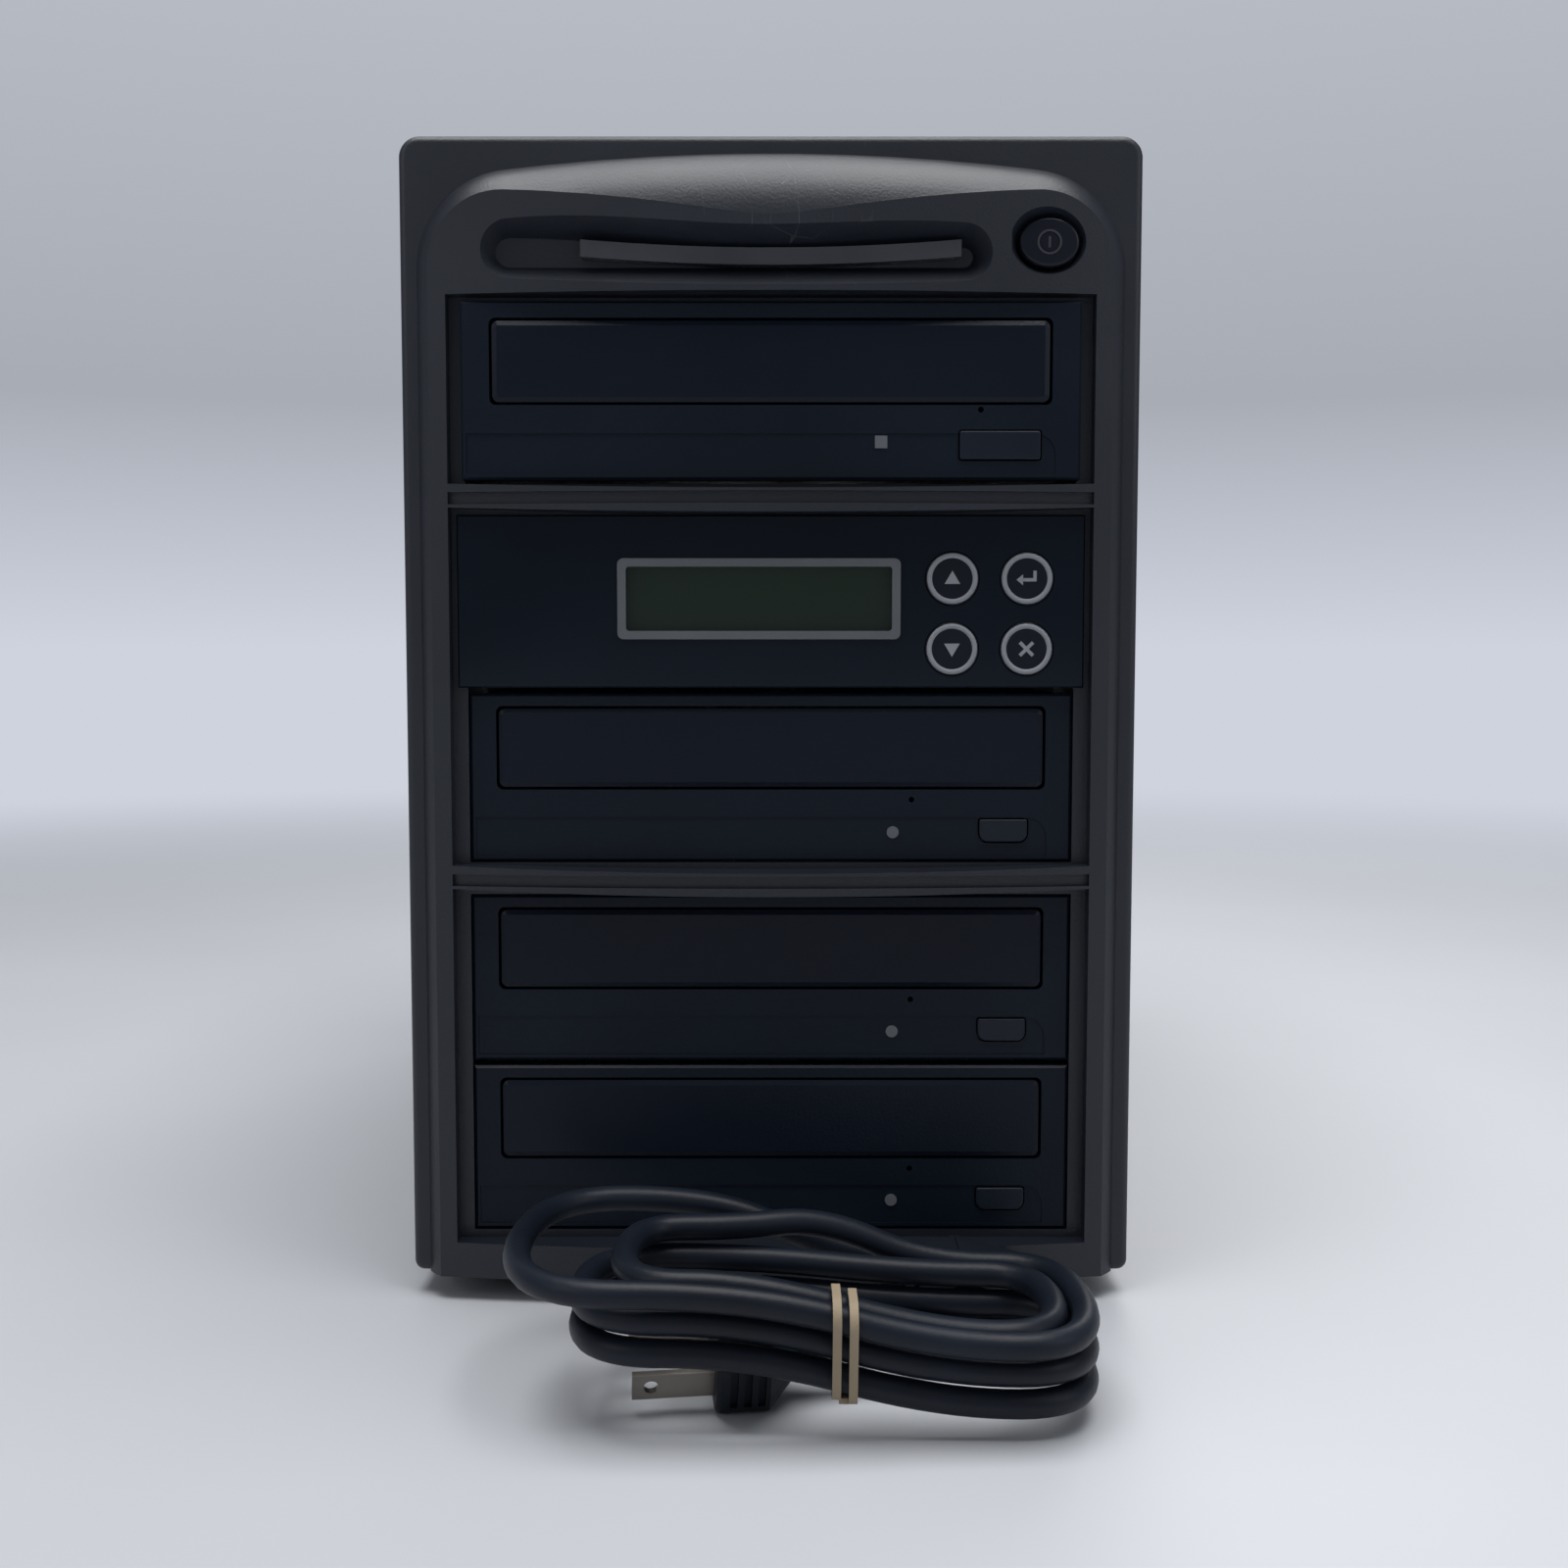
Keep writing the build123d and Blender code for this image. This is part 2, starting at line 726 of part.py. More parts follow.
    with BuildPart() as chassis:
        with BuildSketch(facing_front(casing_y)):
            with Locations((0, base + (casing_height - casing_skin) / 2)):
                Rectangle(casing_width, casing_height - casing_skin)
        extrude(amount=-casing_depth)
        with BuildSketch(facing_front(casing_y)):
            with Locations((0, base + casing_skin + casing_height / 2)):
                Rectangle(casing_width - 2 * casing_skin, casing_height)
        extrude(amount=-(casing_depth - casing_skin), mode=Mode.SUBTRACT)
        with BuildSketch(facing_front(casing_y + casing_depth)):
            with Locations((0, base + 12)):
                Rectangle(62, 11)
        extrude(amount=2 * casing_skin, mode=Mode.SUBTRACT)
        with BuildSketch(Plane.YZ.offset(-casing_width)):
            with Locations(*[(screw_y, base + side_screw_z) for screw_y in side_screw_ys]):
                Circle(screw_radius)
        extrude(amount=2 * casing_width, mode=Mode.SUBTRACT)
    chassis.part.label = f"drive_{number}_chassis"
    export_step(chassis.part, f"parts/drive_{number}_chassis.step")

    with BuildPart() as spindle:
        with BuildSketch(Plane.XY.offset(base + deck_bottom + 0.4)):
            with Locations((0, disc_y)):
                Circle(spindle_shaft_radius)
        extrude(amount=spindle_top - deck_bottom - 1)
        with BuildSketch(Plane.XY.offset(base + deck_bottom + deck_thickness + slip)):
            with Locations((0, disc_y)):
                Circle(spindle_radius - 2)
        extrude(amount=7)
        with BuildSketch(Plane.XY.offset(base + spindle_top - 6)):
            with Locations((0, disc_y)):
                Circle(spindle_radius)
        extrude(amount=2.6)
        with BuildSketch(Plane.XY.offset(base + spindle_top - 3.4)):
            with Locations((0, disc_y)):
                Circle(7.4)
        extrude(amount=3.4, taper=18)
    spindle.part.label = f"drive_{number}_spindle"
    export_step(spindle.part, f"parts/drive_{number}_spindle.step")

# the parts that every drive has alike, one solid in each drive
with BuildPart() as drive_top_covers:
    for front in drive_fronts:
        with BuildSketch(Plane.XY.offset(front["z"] + casing_height - casing_skin)):
            with Locations((0, front["y"] + fascia_depth + casing_depth / 2)):
                Rectangle(casing_width, casing_depth)
                Circle(spindle_radius + 6, mode=Mode.SUBTRACT)
        extrude(amount=casing_skin)
        with BuildSketch(Plane.XY.offset(front["z"] + casing_height - casing_skin - 0.6)):
            with Locations((0, front["y"] + fascia_depth + casing_depth / 2)):
                Circle(spindle_radius + 8)
        extrude(amount=0.6)
drive_top_covers.part.label = "drive_top_covers"
export_step(drive_top_covers.part, "parts/drive_top_covers.step")

with BuildPart() as drive_status_lights:
    for front in drive_fronts:
        with BuildSketch(facing_front(front["y"])):
            with Locations((front["light"][0], front["z"] + front["light"][1])):
                if front["round_light"]:
                    Circle(light_size / 2)
                else:
                    Rectangle(light_size, light_size)
        extrude(amount=-(fascia_depth - 0.4))
        with BuildSketch(facing_front(front["y"] + fascia_wall)):
            with Locations((front["light"][0], front["z"] + front["light"][1])):
                Rectangle(light_size + 1.6, light_size + 1.6)
        extrude(amount=-1.2)
drive_status_lights.part.label = "drive_status_lights"
export_step(drive_status_lights.part, "parts/drive_status_lights.step")

with BuildPart() as drive_decks:
    for front in drive_fronts:
        deck_z = front["z"] + deck_bottom
        deck_y = front["y"] + fascia_depth + deck_start
        deck_length = casing_depth - deck_start - deck_end
        disc_y = front["y"] + spindle_place
        with BuildSketch(Plane.XY.offset(deck_z)):
            with Locations((0, deck_y + deck_length / 2)):
                Rectangle(2 * deck_half_width, deck_length)
            with Locations((0, disc_y)):
                Circle(spindle_shaft_radius + running_gap, mode=Mode.SUBTRACT)
        extrude(amount=deck_thickness)
        with BuildSketch(Plane.XY.offset(front["z"] + casing_skin)):
            with Locations((0, deck_y + deck_length / 2)):
                with GridLocations(2 * deck_half_width - 10, deck_length - 12, 2, 2):
                    Circle(3)
        extrude(amount=deck_bottom - casing_skin)
        # guide channels that carry the tray's two rails
        channel_inner = tray_half_width - tray_rail_width
        channel_outer = tray_half_width + slip + channel_wall
        for side in (-1, 1):
            with BuildSketch(facing_front(deck_y)):
                with BuildLine():
                    Polyline(
                        (side * channel_inner, deck_z),
                        (side * channel_outer, deck_z),
                        (side * channel_outer, front["z"] + channel_height),
                        (side * (channel_outer - channel_lip), front["z"] + channel_height),
                        (side * (channel_outer - channel_lip), front["z"] + tray_plate_top + slip),
                        (side * (channel_outer - channel_wall), front["z"] + tray_plate_top + slip),
                        (side * (channel_outer - channel_wall), front["z"] + rail_top),
                        (side * channel_inner, front["z"] + rail_top),
                        close=True,
                    )
                make_face()
            extrude(amount=-(tray_length - tray_wall - deck_start))
        # laser sled, its lens, the loading motor and the eject switch
        with BuildSketch(Plane.XY.offset(deck_z + deck_thickness)):
            with Locations((0, disc_y + 44)):
                Rectangle(44, 34)
            with Locations((-42, deck_y + 18)):
                Circle(7.5)
        extrude(amount=8)
        with BuildSketch(Plane.XY.offset(deck_z + deck_thickness)):
            with Locations((0, deck_y + deck_length - socket_block_depth / 2)):
                Rectangle(socket_block_width, socket_block_depth)
        extrude(amount=socket_block_height)
        with BuildSketch(Plane.XY.offset(deck_z + deck_thickness + 8)):
            with Locations((0, disc_y + 36)):
                Circle(4)
        extrude(amount=2)
        with BuildSketch(facing_front(front["y"] + stem_reach + switch_gap + button_travel)):
            with Locations((front["button"][0], front["z"] + front["button"][1])):
                Rectangle(6, 2 * (front["button"][1] - deck_bottom - deck_thickness))
        extrude(amount=-4)
drive_decks.part.label = "drive_decks"
export_step(drive_decks.part, "parts/drive_decks.step")

# ---------------------------------------------------------------- control panel

panel_z = bay_z[panel_bay]
window_x = window_center_x
window_z = panel_z + window_center_z
sleeve = 0.8
key_spots = {
    "up": (key_column_left, panel_z + key_row_high),
    "enter": (key_column_right, panel_z + key_row_high),
    "down": (key_column_left, panel_z + key_row_low),
    "escape": (key_column_right, panel_z + key_row_low),
}
key_flange_radius = key_radius + 1.1
key_proud = 0.3
key_stem_radius = 1.8
key_stem_end = 4.2
front_board_y = rim_y + 8.2

with BuildPart() as panel_fascia:
    with BuildSketch(facing_front(rim_y)):
        with Locations((0, panel_z + panel_height / 2)):
            Rectangle(panel_width, panel_height)
        with Locations((window_x, window_z)):
            RectangleRounded(window_width + 2 * sleeve, window_height + 2 * sleeve, 1.2, mode=Mode.SUBTRACT)
        with Locations(*key_spots.values()):
            Circle(key_radius + key_gap, mode=Mode.SUBTRACT)
    extrude(amount=panel_thickness)
    chamfer(panel_fascia.faces().sort_by(Axis.Y)[0].outer_wire().edges(), 0.4)
panel_fascia.part.label = "panel_fascia"
export_step(panel_fascia.part, "parts/panel_fascia.step")

with BuildPart() as lcd_frame:
    with BuildSketch(facing_front(rim_y - panel_thickness)):
        with Locations((window_x, window_z)):
            RectangleRounded(window_width + 2 * window_border, window_height + 2 * window_border, 1.6)
    extrude(amount=0.6)
    fillet(lcd_frame.faces().sort_by(Axis.Y)[0].edges(), 0.25)
    with BuildSketch(facing_front(rim_y)):
        with Locations((window_x, window_z)):
            RectangleRounded(window_width + 2 * sleeve, window_height + 2 * sleeve, 1.2)
    extrude(amount=panel_thickness)
    with BuildSketch(facing_front(rim_y)):
        with Locations((window_x, window_z)):
            RectangleRounded(window_width, window_height, 0.8)
    extrude(amount=2 * panel_thickness, mode=Mode.SUBTRACT)
lcd_frame.part.label = "lcd_frame"
export_step(lcd_frame.part, "parts/lcd_frame.step")

glass_width = 71.0
glass_height = 24.0
glass_thickness = 5.0
glass_step = 1.2

with BuildPart() as lcd_module:
    with BuildSketch(facing_front(rim_y)):
        with Locations((window_x, window_z)):
            Rectangle(glass_width, glass_height)
    extrude(amount=-glass_thickness)
    with BuildSketch(facing_front(rim_y)):
        with Locations((window_x, window_z)):
            RectangleRounded(window_width, window_height, 0.8)
    extrude(amount=glass_step)
    with BuildSketch(facing_front(rim_y + glass_thickness)):
        with Locations((window_x, window_z - 0.5)):
            Rectangle(80, 35)
    extrude(amount=-board_thickness)
lcd_module.part.label = "lcd_module"
export_step(lcd_module.part, "parts/lcd_module.step")

for key_name, spot in key_spots.items():
    with BuildPart() as key:
        with BuildSketch(facing_front(rim_y - panel_thickness - key_proud)):
            with Locations(spot):
                Circle(key_radius)
        extrude(amount=-(panel_thickness + key_proud + slip))
        fillet(key.faces().sort_by(Axis.Y)[0].edges(), 0.25)
        with BuildSketch(facing_front(rim_y + slip)):
            with Locations(spot):
                Circle(key_flange_radius)
        extrude(amount=-1)
        with BuildSketch(facing_front(rim_y)):
            with Locations(spot):
                Circle(key_stem_radius)
        extrude(amount=-key_stem_end)
    key.part.label = f"key_{key_name}"
    export_step(key.part, f"parts/key_{key_name}.step")

bracket_half = casing_width / 2 - 0.1
bracket_length = 104.0
bracket_low = 1.2
bracket_side_height = 38.0

with BuildPart() as controller_bracket:
    with BuildSketch(Plane.XY.offset(panel_z + bracket_low)):
        with Locations((0, rim_y + bracket_length / 2)):
            Rectangle(2 * bracket_half, bracket_length)
    extrude(amount=bracket_side_height)
    with BuildSketch(Plane.XY.offset(panel_z + bracket_low + sheet)):
        with Locations((0, rim_y + sheet + bracket_length / 2)):
            Rectangle(2 * (bracket_half - sheet), bracket_length)
    extrude(amount=bracket_side_height, mode=Mode.SUBTRACT)
    with BuildSketch(facing_front(rim_y - 1)):
        with Locations((window_x, window_z)):
            Rectangle(glass_width + 1, glass_height + 1)
        with Locations(*key_spots.values()):
            Circle(key_flange_radius + 0.5)
    extrude(amount=-(sheet + 2), mode=Mode.SUBTRACT)
    with BuildSketch(Plane.YZ.offset(-bracket_half - 1)):
        with Locations(*[(screw_y, panel_z + side_screw_z) for screw_y in side_screw_ys[:1]]):
            Circle(screw_radius)
    extrude(amount=2 * bracket_half + 2, mode=Mode.SUBTRACT)
controller_bracket.part.label = "controller_bracket"
export_step(controller_bracket.part, "parts/controller_bracket.step")

board_z = panel_z + bracket_low + sheet + 4
board_y = rim_y + 14
board_length = 84.0
board_half = 68.0
cable_xs = (-36.0, -22.0, -8.0, 6.0)
cable_width = 8.0
cable_thickness = 1.2
cable_z = board_z + board_thickness + 3.4

with BuildPart() as controller_board:
    with BuildSketch(Plane.XY.offset(board_z)):
        with Locations((0, board_y + board_length / 2)):
            Rectangle(2 * board_half, board_length)
    extrude(amount=board_thickness)
    with BuildSketch(Plane.XY.offset(panel_z + bracket_low + sheet)):
        with Locations((0, board_y + board_length / 2)):
            with GridLocations(2 * board_half - 10, board_length - 10, 2, 2):
                Circle(2.5)
    extrude(amount=4)
    with BuildSketch(Plane.XY.offset(board_z + board_thickness)):
        with Locations((-30, board_y + 30)):
            Rectangle(28, 28)
        with Locations((14, board_y + 26), (14, board_y + 44)):
            Rectangle(20, 12)
    extrude(amount=2)
    with BuildSketch(Plane.XY.offset(board_z + board_thickness)):
        with Locations(*[(cable_x, board_y + board_length - 6) for cable_x in cable_xs]):
            Rectangle(cable_width + 4, 12)
        with Locations((46, board_y + board_length - 6)):
            Rectangle(24, 12)
        with Locations((46, board_y + 30)):
            Circle(5)
    extrude(amount=8)
    with BuildSketch(facing_front(front_board_y)):
        with Locations(((key_column_left + key_column_right) / 2, (panel_z + bracket_low + 36 + board_z) / 2)):
            Rectangle(34, panel_z + bracket_low + 36 - board_z)
    extrude(amount=-board_thickness)
    with BuildSketch(facing_front(front_board_y)):
        with Locations(*key_spots.values()):
            Rectangle(6, 6)
    extrude(amount=front_board_y - rim_y - key_stem_end - key_travel - 0.2)
    with BuildSketch(Plane.XY.offset(board_z)):
        with Locations(((key_column_left + key_column_right) / 2, (front_board_y + board_y) / 2 + 1)):
            Rectangle(20, board_y - front_board_y + 2)
    extrude(amount=board_thickness)
controller_board.part.label = "controller_board"
export_step(controller_board.part, "parts/controller_board.step")

# ---------------------------------------------------------------- steel case

cage_inner = casing_width / 2 + cage_gap
pan_half = case_half - sheet - 0.2
rear_panel_y = case_rear_y - sheet
psu_roof = cover_top - sheet - psu_roof_gap
psu_floor = psu_roof - psu_height
psu_front_y = rear_panel_y - psu_depth
psu_mid = (psu_floor + psu_roof) / 2
psu_screw_x = psu_width / 2 - 3.5
psu_screws = [(x, psu_mid + z) for x in (-psu_screw_x, psu_screw_x) for z in (-30, 30)]
thumb_spots = [(side * (case_half - cover_lip / 2), z) for side in (-1, 1) for z in (40, 150, 260)]
thumb_radius = 1.6
foot_x = case_half - 18
foot_ys = (bezel_back_y + 20, case_rear_y - 24)
foot_radius = 8.0

with BuildPart() as base_pan:
    with BuildSketch(Plane.XY.offset(foot_height)):
        with Locations((0, (bezel_back_y + rear_panel_y) / 2)):
            Rectangle(2 * pan_half, rear_panel_y - bezel_back_y)
    extrude(amount=pan_flange)
    with BuildSketch(Plane.XY.offset(pan_top)):
        with Locations((0, (bezel_back_y + rear_panel_y) / 2)):
            Rectangle(2 * (pan_half - sheet), rear_panel_y - bezel_back_y - 2 * sheet)
    extrude(amount=pan_flange, mode=Mode.SUBTRACT)
base_pan.part.label = "base_pan"
export_step(base_pan.part, "parts/base_pan.step")

with BuildPart() as drive_cage:
    for side in (-1, 1):
        with BuildSketch(Plane.YZ.offset(side * cage_inner)):
            with Locations((bezel_back_y + sheet + cage_length / 2, (pan_top + cage_top) / 2)):
                Rectangle(cage_length, cage_top - pan_top)
            with Locations(*[(bezel_back_y + 72, low + 28) for low in bay_z]):
                RectangleRounded(34, 12, 3, mode=Mode.SUBTRACT)
            with Locations(*[(y, low + side_screw_z) for low in bay_z for y in side_screw_ys]):
                Circle(screw_radius + 0.2, mode=Mode.SUBTRACT)
        extrude(amount=side * sheet)
        with BuildSketch(Plane.XY.offset(pan_top)):
            with Locations((side * (cage_inner + 5), bezel_back_y + sheet + cage_length / 2)):
                Rectangle(10, cage_length)
        extrude(amount=sheet)
        with BuildSketch(facing_front(bezel_back_y + sheet)):
            flange_width = pan_half - sheet - slip - cage_inner
            with Locations((side * (cage_inner + flange_width / 2), (pan_top + cage_top) / 2)):
                Rectangle(flange_width, cage_top - pan_top)
        extrude(amount=-sheet)
drive_cage.part.label = "drive_cage"
export_step(drive_cage.part, "parts/drive_cage.step")

with BuildPart() as rear_panel:
    with BuildSketch(facing_front(rear_panel_y)):
        with Locations((0, (pan_top + cover_top - sheet) / 2)):
            Rectangle(2 * pan_half, cover_top - sheet - pan_top - 0.2)
        with Locations((0, (psu_floor + psu_roof) / 2)):
            Rectangle(psu_width - 14, psu_height - 6, mode=Mode.SUBTRACT)
        with Locations((0, exhaust_height)):
            Circle(fan_bore_radius, mode=Mode.SUBTRACT)
            with GridLocations(71.5, 71.5, 2, 2):
                Circle(2.0, mode=Mode.SUBTRACT)
        with Locations((0, 42)):
            with GridLocations(44, 8, 3, 5):
                SlotOverall(34, 3.4, mode=Mode.SUBTRACT)
        with Locations(*thumb_spots):
            Circle(thumb_radius, mode=Mode.SUBTRACT)
        with Locations(*psu_screws):
            Circle(screw_radius, mode=Mode.SUBTRACT)
    extrude(amount=-sheet)
rear_panel.part.label = "rear_panel"
export_step(rear_panel.part, "parts/rear_panel.step")

with BuildPart() as cover_shell:
    with BuildSketch(facing_front(bezel_back_y)):
        with Locations((0, (foot_height + cover_top) / 2)):
            Rectangle(2 * case_half, cover_top - foot_height)
    extrude(amount=-(case_rear_y + sheet - bezel_back_y))
    fillet(cover_shell.edges().filter_by(Axis.Y).group_by(Axis.Z)[-1], 2.5)
    with BuildSketch(facing_front(bezel_back_y - 1)):
        with Locations((0, (cover_top - sheet) / 2)):
            Rectangle(2 * (case_half - sheet), cover_top - sheet)
    extrude(amount=-(case_rear_y - bezel_back_y + 1), mode=Mode.SUBTRACT)
    with BuildSketch(facing_front(rear_panel_y)):
        with Locations((0, (cover_top - cover_top_lip) / 2)):
            Rectangle(2 * (case_half - cover_lip), cover_top - cover_top_lip)
        with Locations(*thumb_spots):
            Circle(thumb_radius + 0.4)
    extrude(amount=-2 * screw_head, mode=Mode.SUBTRACT)
cover_shell.part.label = "cover_shell"
export_step(cover_shell.part, "parts/cover_shell.step")

with BuildPart() as cover_thumbscrews:
    with BuildSketch(facing_front(case_rear_y + sheet)):
        with Locations(*thumb_spots):
            Circle(screw_head_radius)
    extrude(amount=-screw_head)
    with BuildSketch(facing_front(case_rear_y + sheet)):
        with Locations(*thumb_spots):
            Circle(thumb_radius)
    extrude(amount=8)
    with BuildSketch(facing_front(case_rear_y + sheet + screw_head)):
        with Locations(*thumb_spots):
            Rectangle(2 * screw_head_radius - 2, 1)
    extrude(amount=1, mode=Mode.SUBTRACT)
cover_thumbscrews.part.label = "cover_thumbscrews"
export_step(cover_thumbscrews.part, "parts/cover_thumbscrews.step")

with BuildPart() as rubber_feet:
    for foot_side in (-1, 1):
        for foot_y in foot_ys:
            with BuildSketch(Plane.XY):
                with Locations((foot_side * foot_x, foot_y)):
                    Circle(foot_radius - 1)
            with BuildSketch(Plane.XY.offset(foot_height)):
                with Locations((foot_side * foot_x, foot_y)):
                    Circle(foot_radius)
            loft()
rubber_feet.part.label = "rubber_feet"
export_step(rubber_feet.part, "parts/rubber_feet.step")

# ---------------------------------------------------------------- power supply and fans

psu_fan_x = 28.0
inlet_x = -45.0
psu_wall_y = rear_panel_y - sheet
fan_holes = 71.5
plate_width = 32.0
plate_height = 60.0
plate_thickness = 2.0
plate_out = rear_panel_y + plate_thickness

with BuildPart() as psu_case:
    with BuildSketch(Plane.XY.offset(psu_floor)):
        with Locations((0, psu_front_y + psu_depth / 2)):
            Rectangle(psu_width, psu_depth)
    extrude(amount=psu_height)
    with BuildSketch(Plane.XY.offset(psu_floor + sheet)):
        with Locations((0, psu_front_y + psu_depth / 2)):
            Rectangle(psu_width - 2 * sheet, psu_depth - 2 * sheet)
    extrude(amount=psu_height - 2 * sheet, mode=Mode.SUBTRACT)
    with BuildSketch(facing_front(psu_wall_y - 1)):
        with Locations((psu_fan_x, psu_mid)):
            Circle(fan_bore_radius)
        with Locations((inlet_x, psu_mid)):
            Rectangle(plate_width - 3, plate_height - 3)
        with Locations(*psu_screws):
            Circle(screw_radius)
    extrude(amount=-(sheet + 2), mode=Mode.SUBTRACT)
    with BuildSketch(facing_front(psu_front_y - 1)):
        with Locations((0, psu_mid)):
            with GridLocations(40, 9, 3, 7):
                SlotOverall(30, 4, mode=Mode.ADD)
    extrude(amount=-(sheet + 2), mode=Mode.SUBTRACT)
psu_case.part.label = "psu_case"
export_step(psu_case.part, "parts/psu_case.step")

fan_places = {
    "psu": (psu_fan_x, psu_mid, psu_wall_y - fan_thickness),
    "exhaust": (0.0, exhaust_height, rear_panel_y - fan_thickness),
}
seat_radius = fan_hub_radius + 2
seat_thickness = 3.0

with BuildPart() as fan_frames:
    for fan_x, fan_z, fan_y in fan_places.values():
        with BuildSketch(facing_front(fan_y)):
            with Locations((fan_x, fan_z)):
                RectangleRounded(fan_size, fan_size, 4)
                Circle(fan_bore_radius, mode=Mode.SUBTRACT)
                with GridLocations(fan_holes, fan_holes, 2, 2):
                    Circle(2.1, mode=Mode.SUBTRACT)
        extrude(amount=-fan_thickness)
        with BuildSketch(facing_front(fan_y)):
            with Locations((fan_x, fan_z)):
                Circle(seat_radius)
                with PolarLocations(0, 3):
                    with Locations((fan_bore_radius / 2 + 5, 0)):
                        Rectangle(fan_bore_radius - 8, 4)
                Circle(spindle_shaft_radius + running_gap, mode=Mode.SUBTRACT)
        extrude(amount=-seat_thickness)
fan_frames.part.label = "fan_frames"
export_step(fan_frames.part, "parts/fan_frames.step")

hub_start = seat_thickness + slip
hub_length = 19.0
blade_pitch = 38.0
blade_chord = 19.0
blade_thickness = 1.5

for fan_name, (fan_x, fan_z, fan_y) in fan_places.items():
    with BuildPart() as rotor:
        with BuildSketch(facing_front(fan_y + hub_start)):
            with Locations((fan_x, fan_z)):
                Circle(fan_hub_radius)
        extrude(amount=-hub_length)
        fillet(rotor.faces().sort_by(Axis.Y)[-1].edges(), 1.5)
        with BuildSketch(facing_front(fan_y + 0.4)):
            with Locations((fan_x, fan_z)):
                Circle(spindle_shaft_radius)
        extrude(amount=-seat_thickness)
        for blade in range(blade_count):
            turn = 2 * pi * blade / blade_count
            outward = Vector(cos(turn), 0, sin(turn))
            hub_middle = Vector(fan_x, fan_y + hub_start + hub_length / 2, fan_z)
            sideways = Vector(-sin(turn), 0, cos(turn))
            lean = Vector(0, 1, 0) * cos(radians(blade_pitch)) + sideways * sin(radians(blade_pitch))
            with BuildSketch(Plane(hub_middle + outward * (fan_hub_radius - 2), x_dir=lean, z_dir=outward)):
                Rectangle(blade_chord, blade_thickness)
            extrude(amount=fan_bore_radius - fan_tip_gap - fan_hub_radius + 1)
    rotor.part.label = f"{fan_name}_fan_rotor"
    export_step(rotor.part, f"parts/{fan_name}_fan_rotor.step")

guard_wire = 0.8
guard_rings = (12.0, 20.0, 28.0, 36.0)
guard_reach = fan_holes / 2 * sqrt(2)
guard_bases = {"psu": rear_panel_y, "exhaust": rear_panel_y + sheet}
lug_radius = 3.4
lug_thickness = 1.2

with BuildPart() as fan_guards:
    for fan_name, (fan_x, fan_z, fan_y) in fan_places.items():
        guard_y = guard_bases[fan_name] + lug_thickness
        with BuildSketch(facing_front(guard_bases[fan_name])):
            with Locations((fan_x, fan_z)):
                with GridLocations(fan_holes, fan_holes, 2, 2):
                    Circle(lug_radius)
        extrude(amount=-lug_thickness)
        for diagonal in (45, 135):
            bar_turn = radians(diagonal)
            bar_dir = Vector(cos(bar_turn), 0, sin(bar_turn))
            bar_start = Vector(fan_x, guard_y - 0.1, fan_z) - bar_dir * guard_reach
            with BuildSketch(Plane(bar_start, x_dir=(0, 1, 0), z_dir=bar_dir)):
                Circle(guard_wire)
            extrude(amount=2 * guard_reach)
        for ring in guard_rings:
            with Locations(Plane((fan_x, guard_y + 0.9, fan_z), x_dir=(1, 0, 0), z_dir=(0, -1, 0))):
                Torus(ring, guard_wire)
fan_guards.part.label = "fan_guards"
export_step(fan_guards.part, "parts/fan_guards.step")

socket_z = psu_mid - 13
socket_width = 24.5
socket_height = 16.5
socket_depth = 17.0
pin_length = 14.0
rocker_z = psu_mid + 14
rocker_cavity = hypot(2.6, rocker_height / 2) + 0.4
rocker_axle_radius = 1.2
rocker_axle_y = plate_out - 2.1

with BuildPart() as power_inlet:
    with BuildSketch(facing_front(rear_panel_y)):
        with Locations((inlet_x, psu_mid)):
            RectangleRounded(plate_width, plate_height, 2)
    extrude(amount=-plate_thickness)
    with BuildSketch(facing_front(rear_panel_y)):
        with Locations((inlet_x, psu_mid)):
            Rectangle(plate_width - 4, plate_height - 4)
    extrude(amount=inlet_depth)
    with BuildSketch(facing_front(plate_out)):
        with BuildLine():
            Polyline(
                (inlet_x - socket_width / 2, socket_z - socket_height / 2),
                (inlet_x + socket_width / 2, socket_z - socket_height / 2),
                (inlet_x + socket_width / 2, socket_z + socket_height / 2 - 4),
                (inlet_x + socket_width / 2 - 4, socket_z + socket_height / 2),
                (inlet_x - socket_width / 2 + 4, socket_z + socket_height / 2),
                (inlet_x - socket_width / 2, socket_z + socket_height / 2 - 4),
                close=True,
            )
        make_face()
    extrude(amount=socket_depth, mode=Mode.SUBTRACT)
    with BuildSketch(facing_front(plate_out)):
        with Locations((inlet_x, rocker_z)):
            Rectangle(rocker_width + 0.6, 2 * rocker_cavity)
    extrude(amount=14, mode=Mode.SUBTRACT)
    with BuildSketch(facing_front(plate_out - socket_depth - 1)):
        with Locations((inlet_x - 7, socket_z + 1), (inlet_x + 7, socket_z + 1), (inlet_x, socket_z + 4.5)):
            Rectangle(2, 4)
    extrude(amount=-(pin_length + 1))
    with BuildSketch(Plane.YZ.offset(inlet_x - rocker_width / 2 - 2.3)):
        with Locations((rocker_axle_y, rocker_z)):
            Circle(rocker_axle_radius + running_gap)
    extrude(amount=rocker_width + 4.6, mode=Mode.SUBTRACT)
power_inlet.part.label = "power_inlet"
export_step(power_inlet.part, "parts/power_inlet.step")

rest_tilt = radians(-rocker_swing / 2)


def rocker_point(out, up):
    """A point of the rocker's side profile, turned to its rest position."""
    turned_y = out * cos(rest_tilt) - up * sin(rest_tilt)
    turned_z = out * sin(rest_tilt) + up * cos(rest_tilt)
    return (rocker_axle_y + turned_y, rocker_z + turned_z)


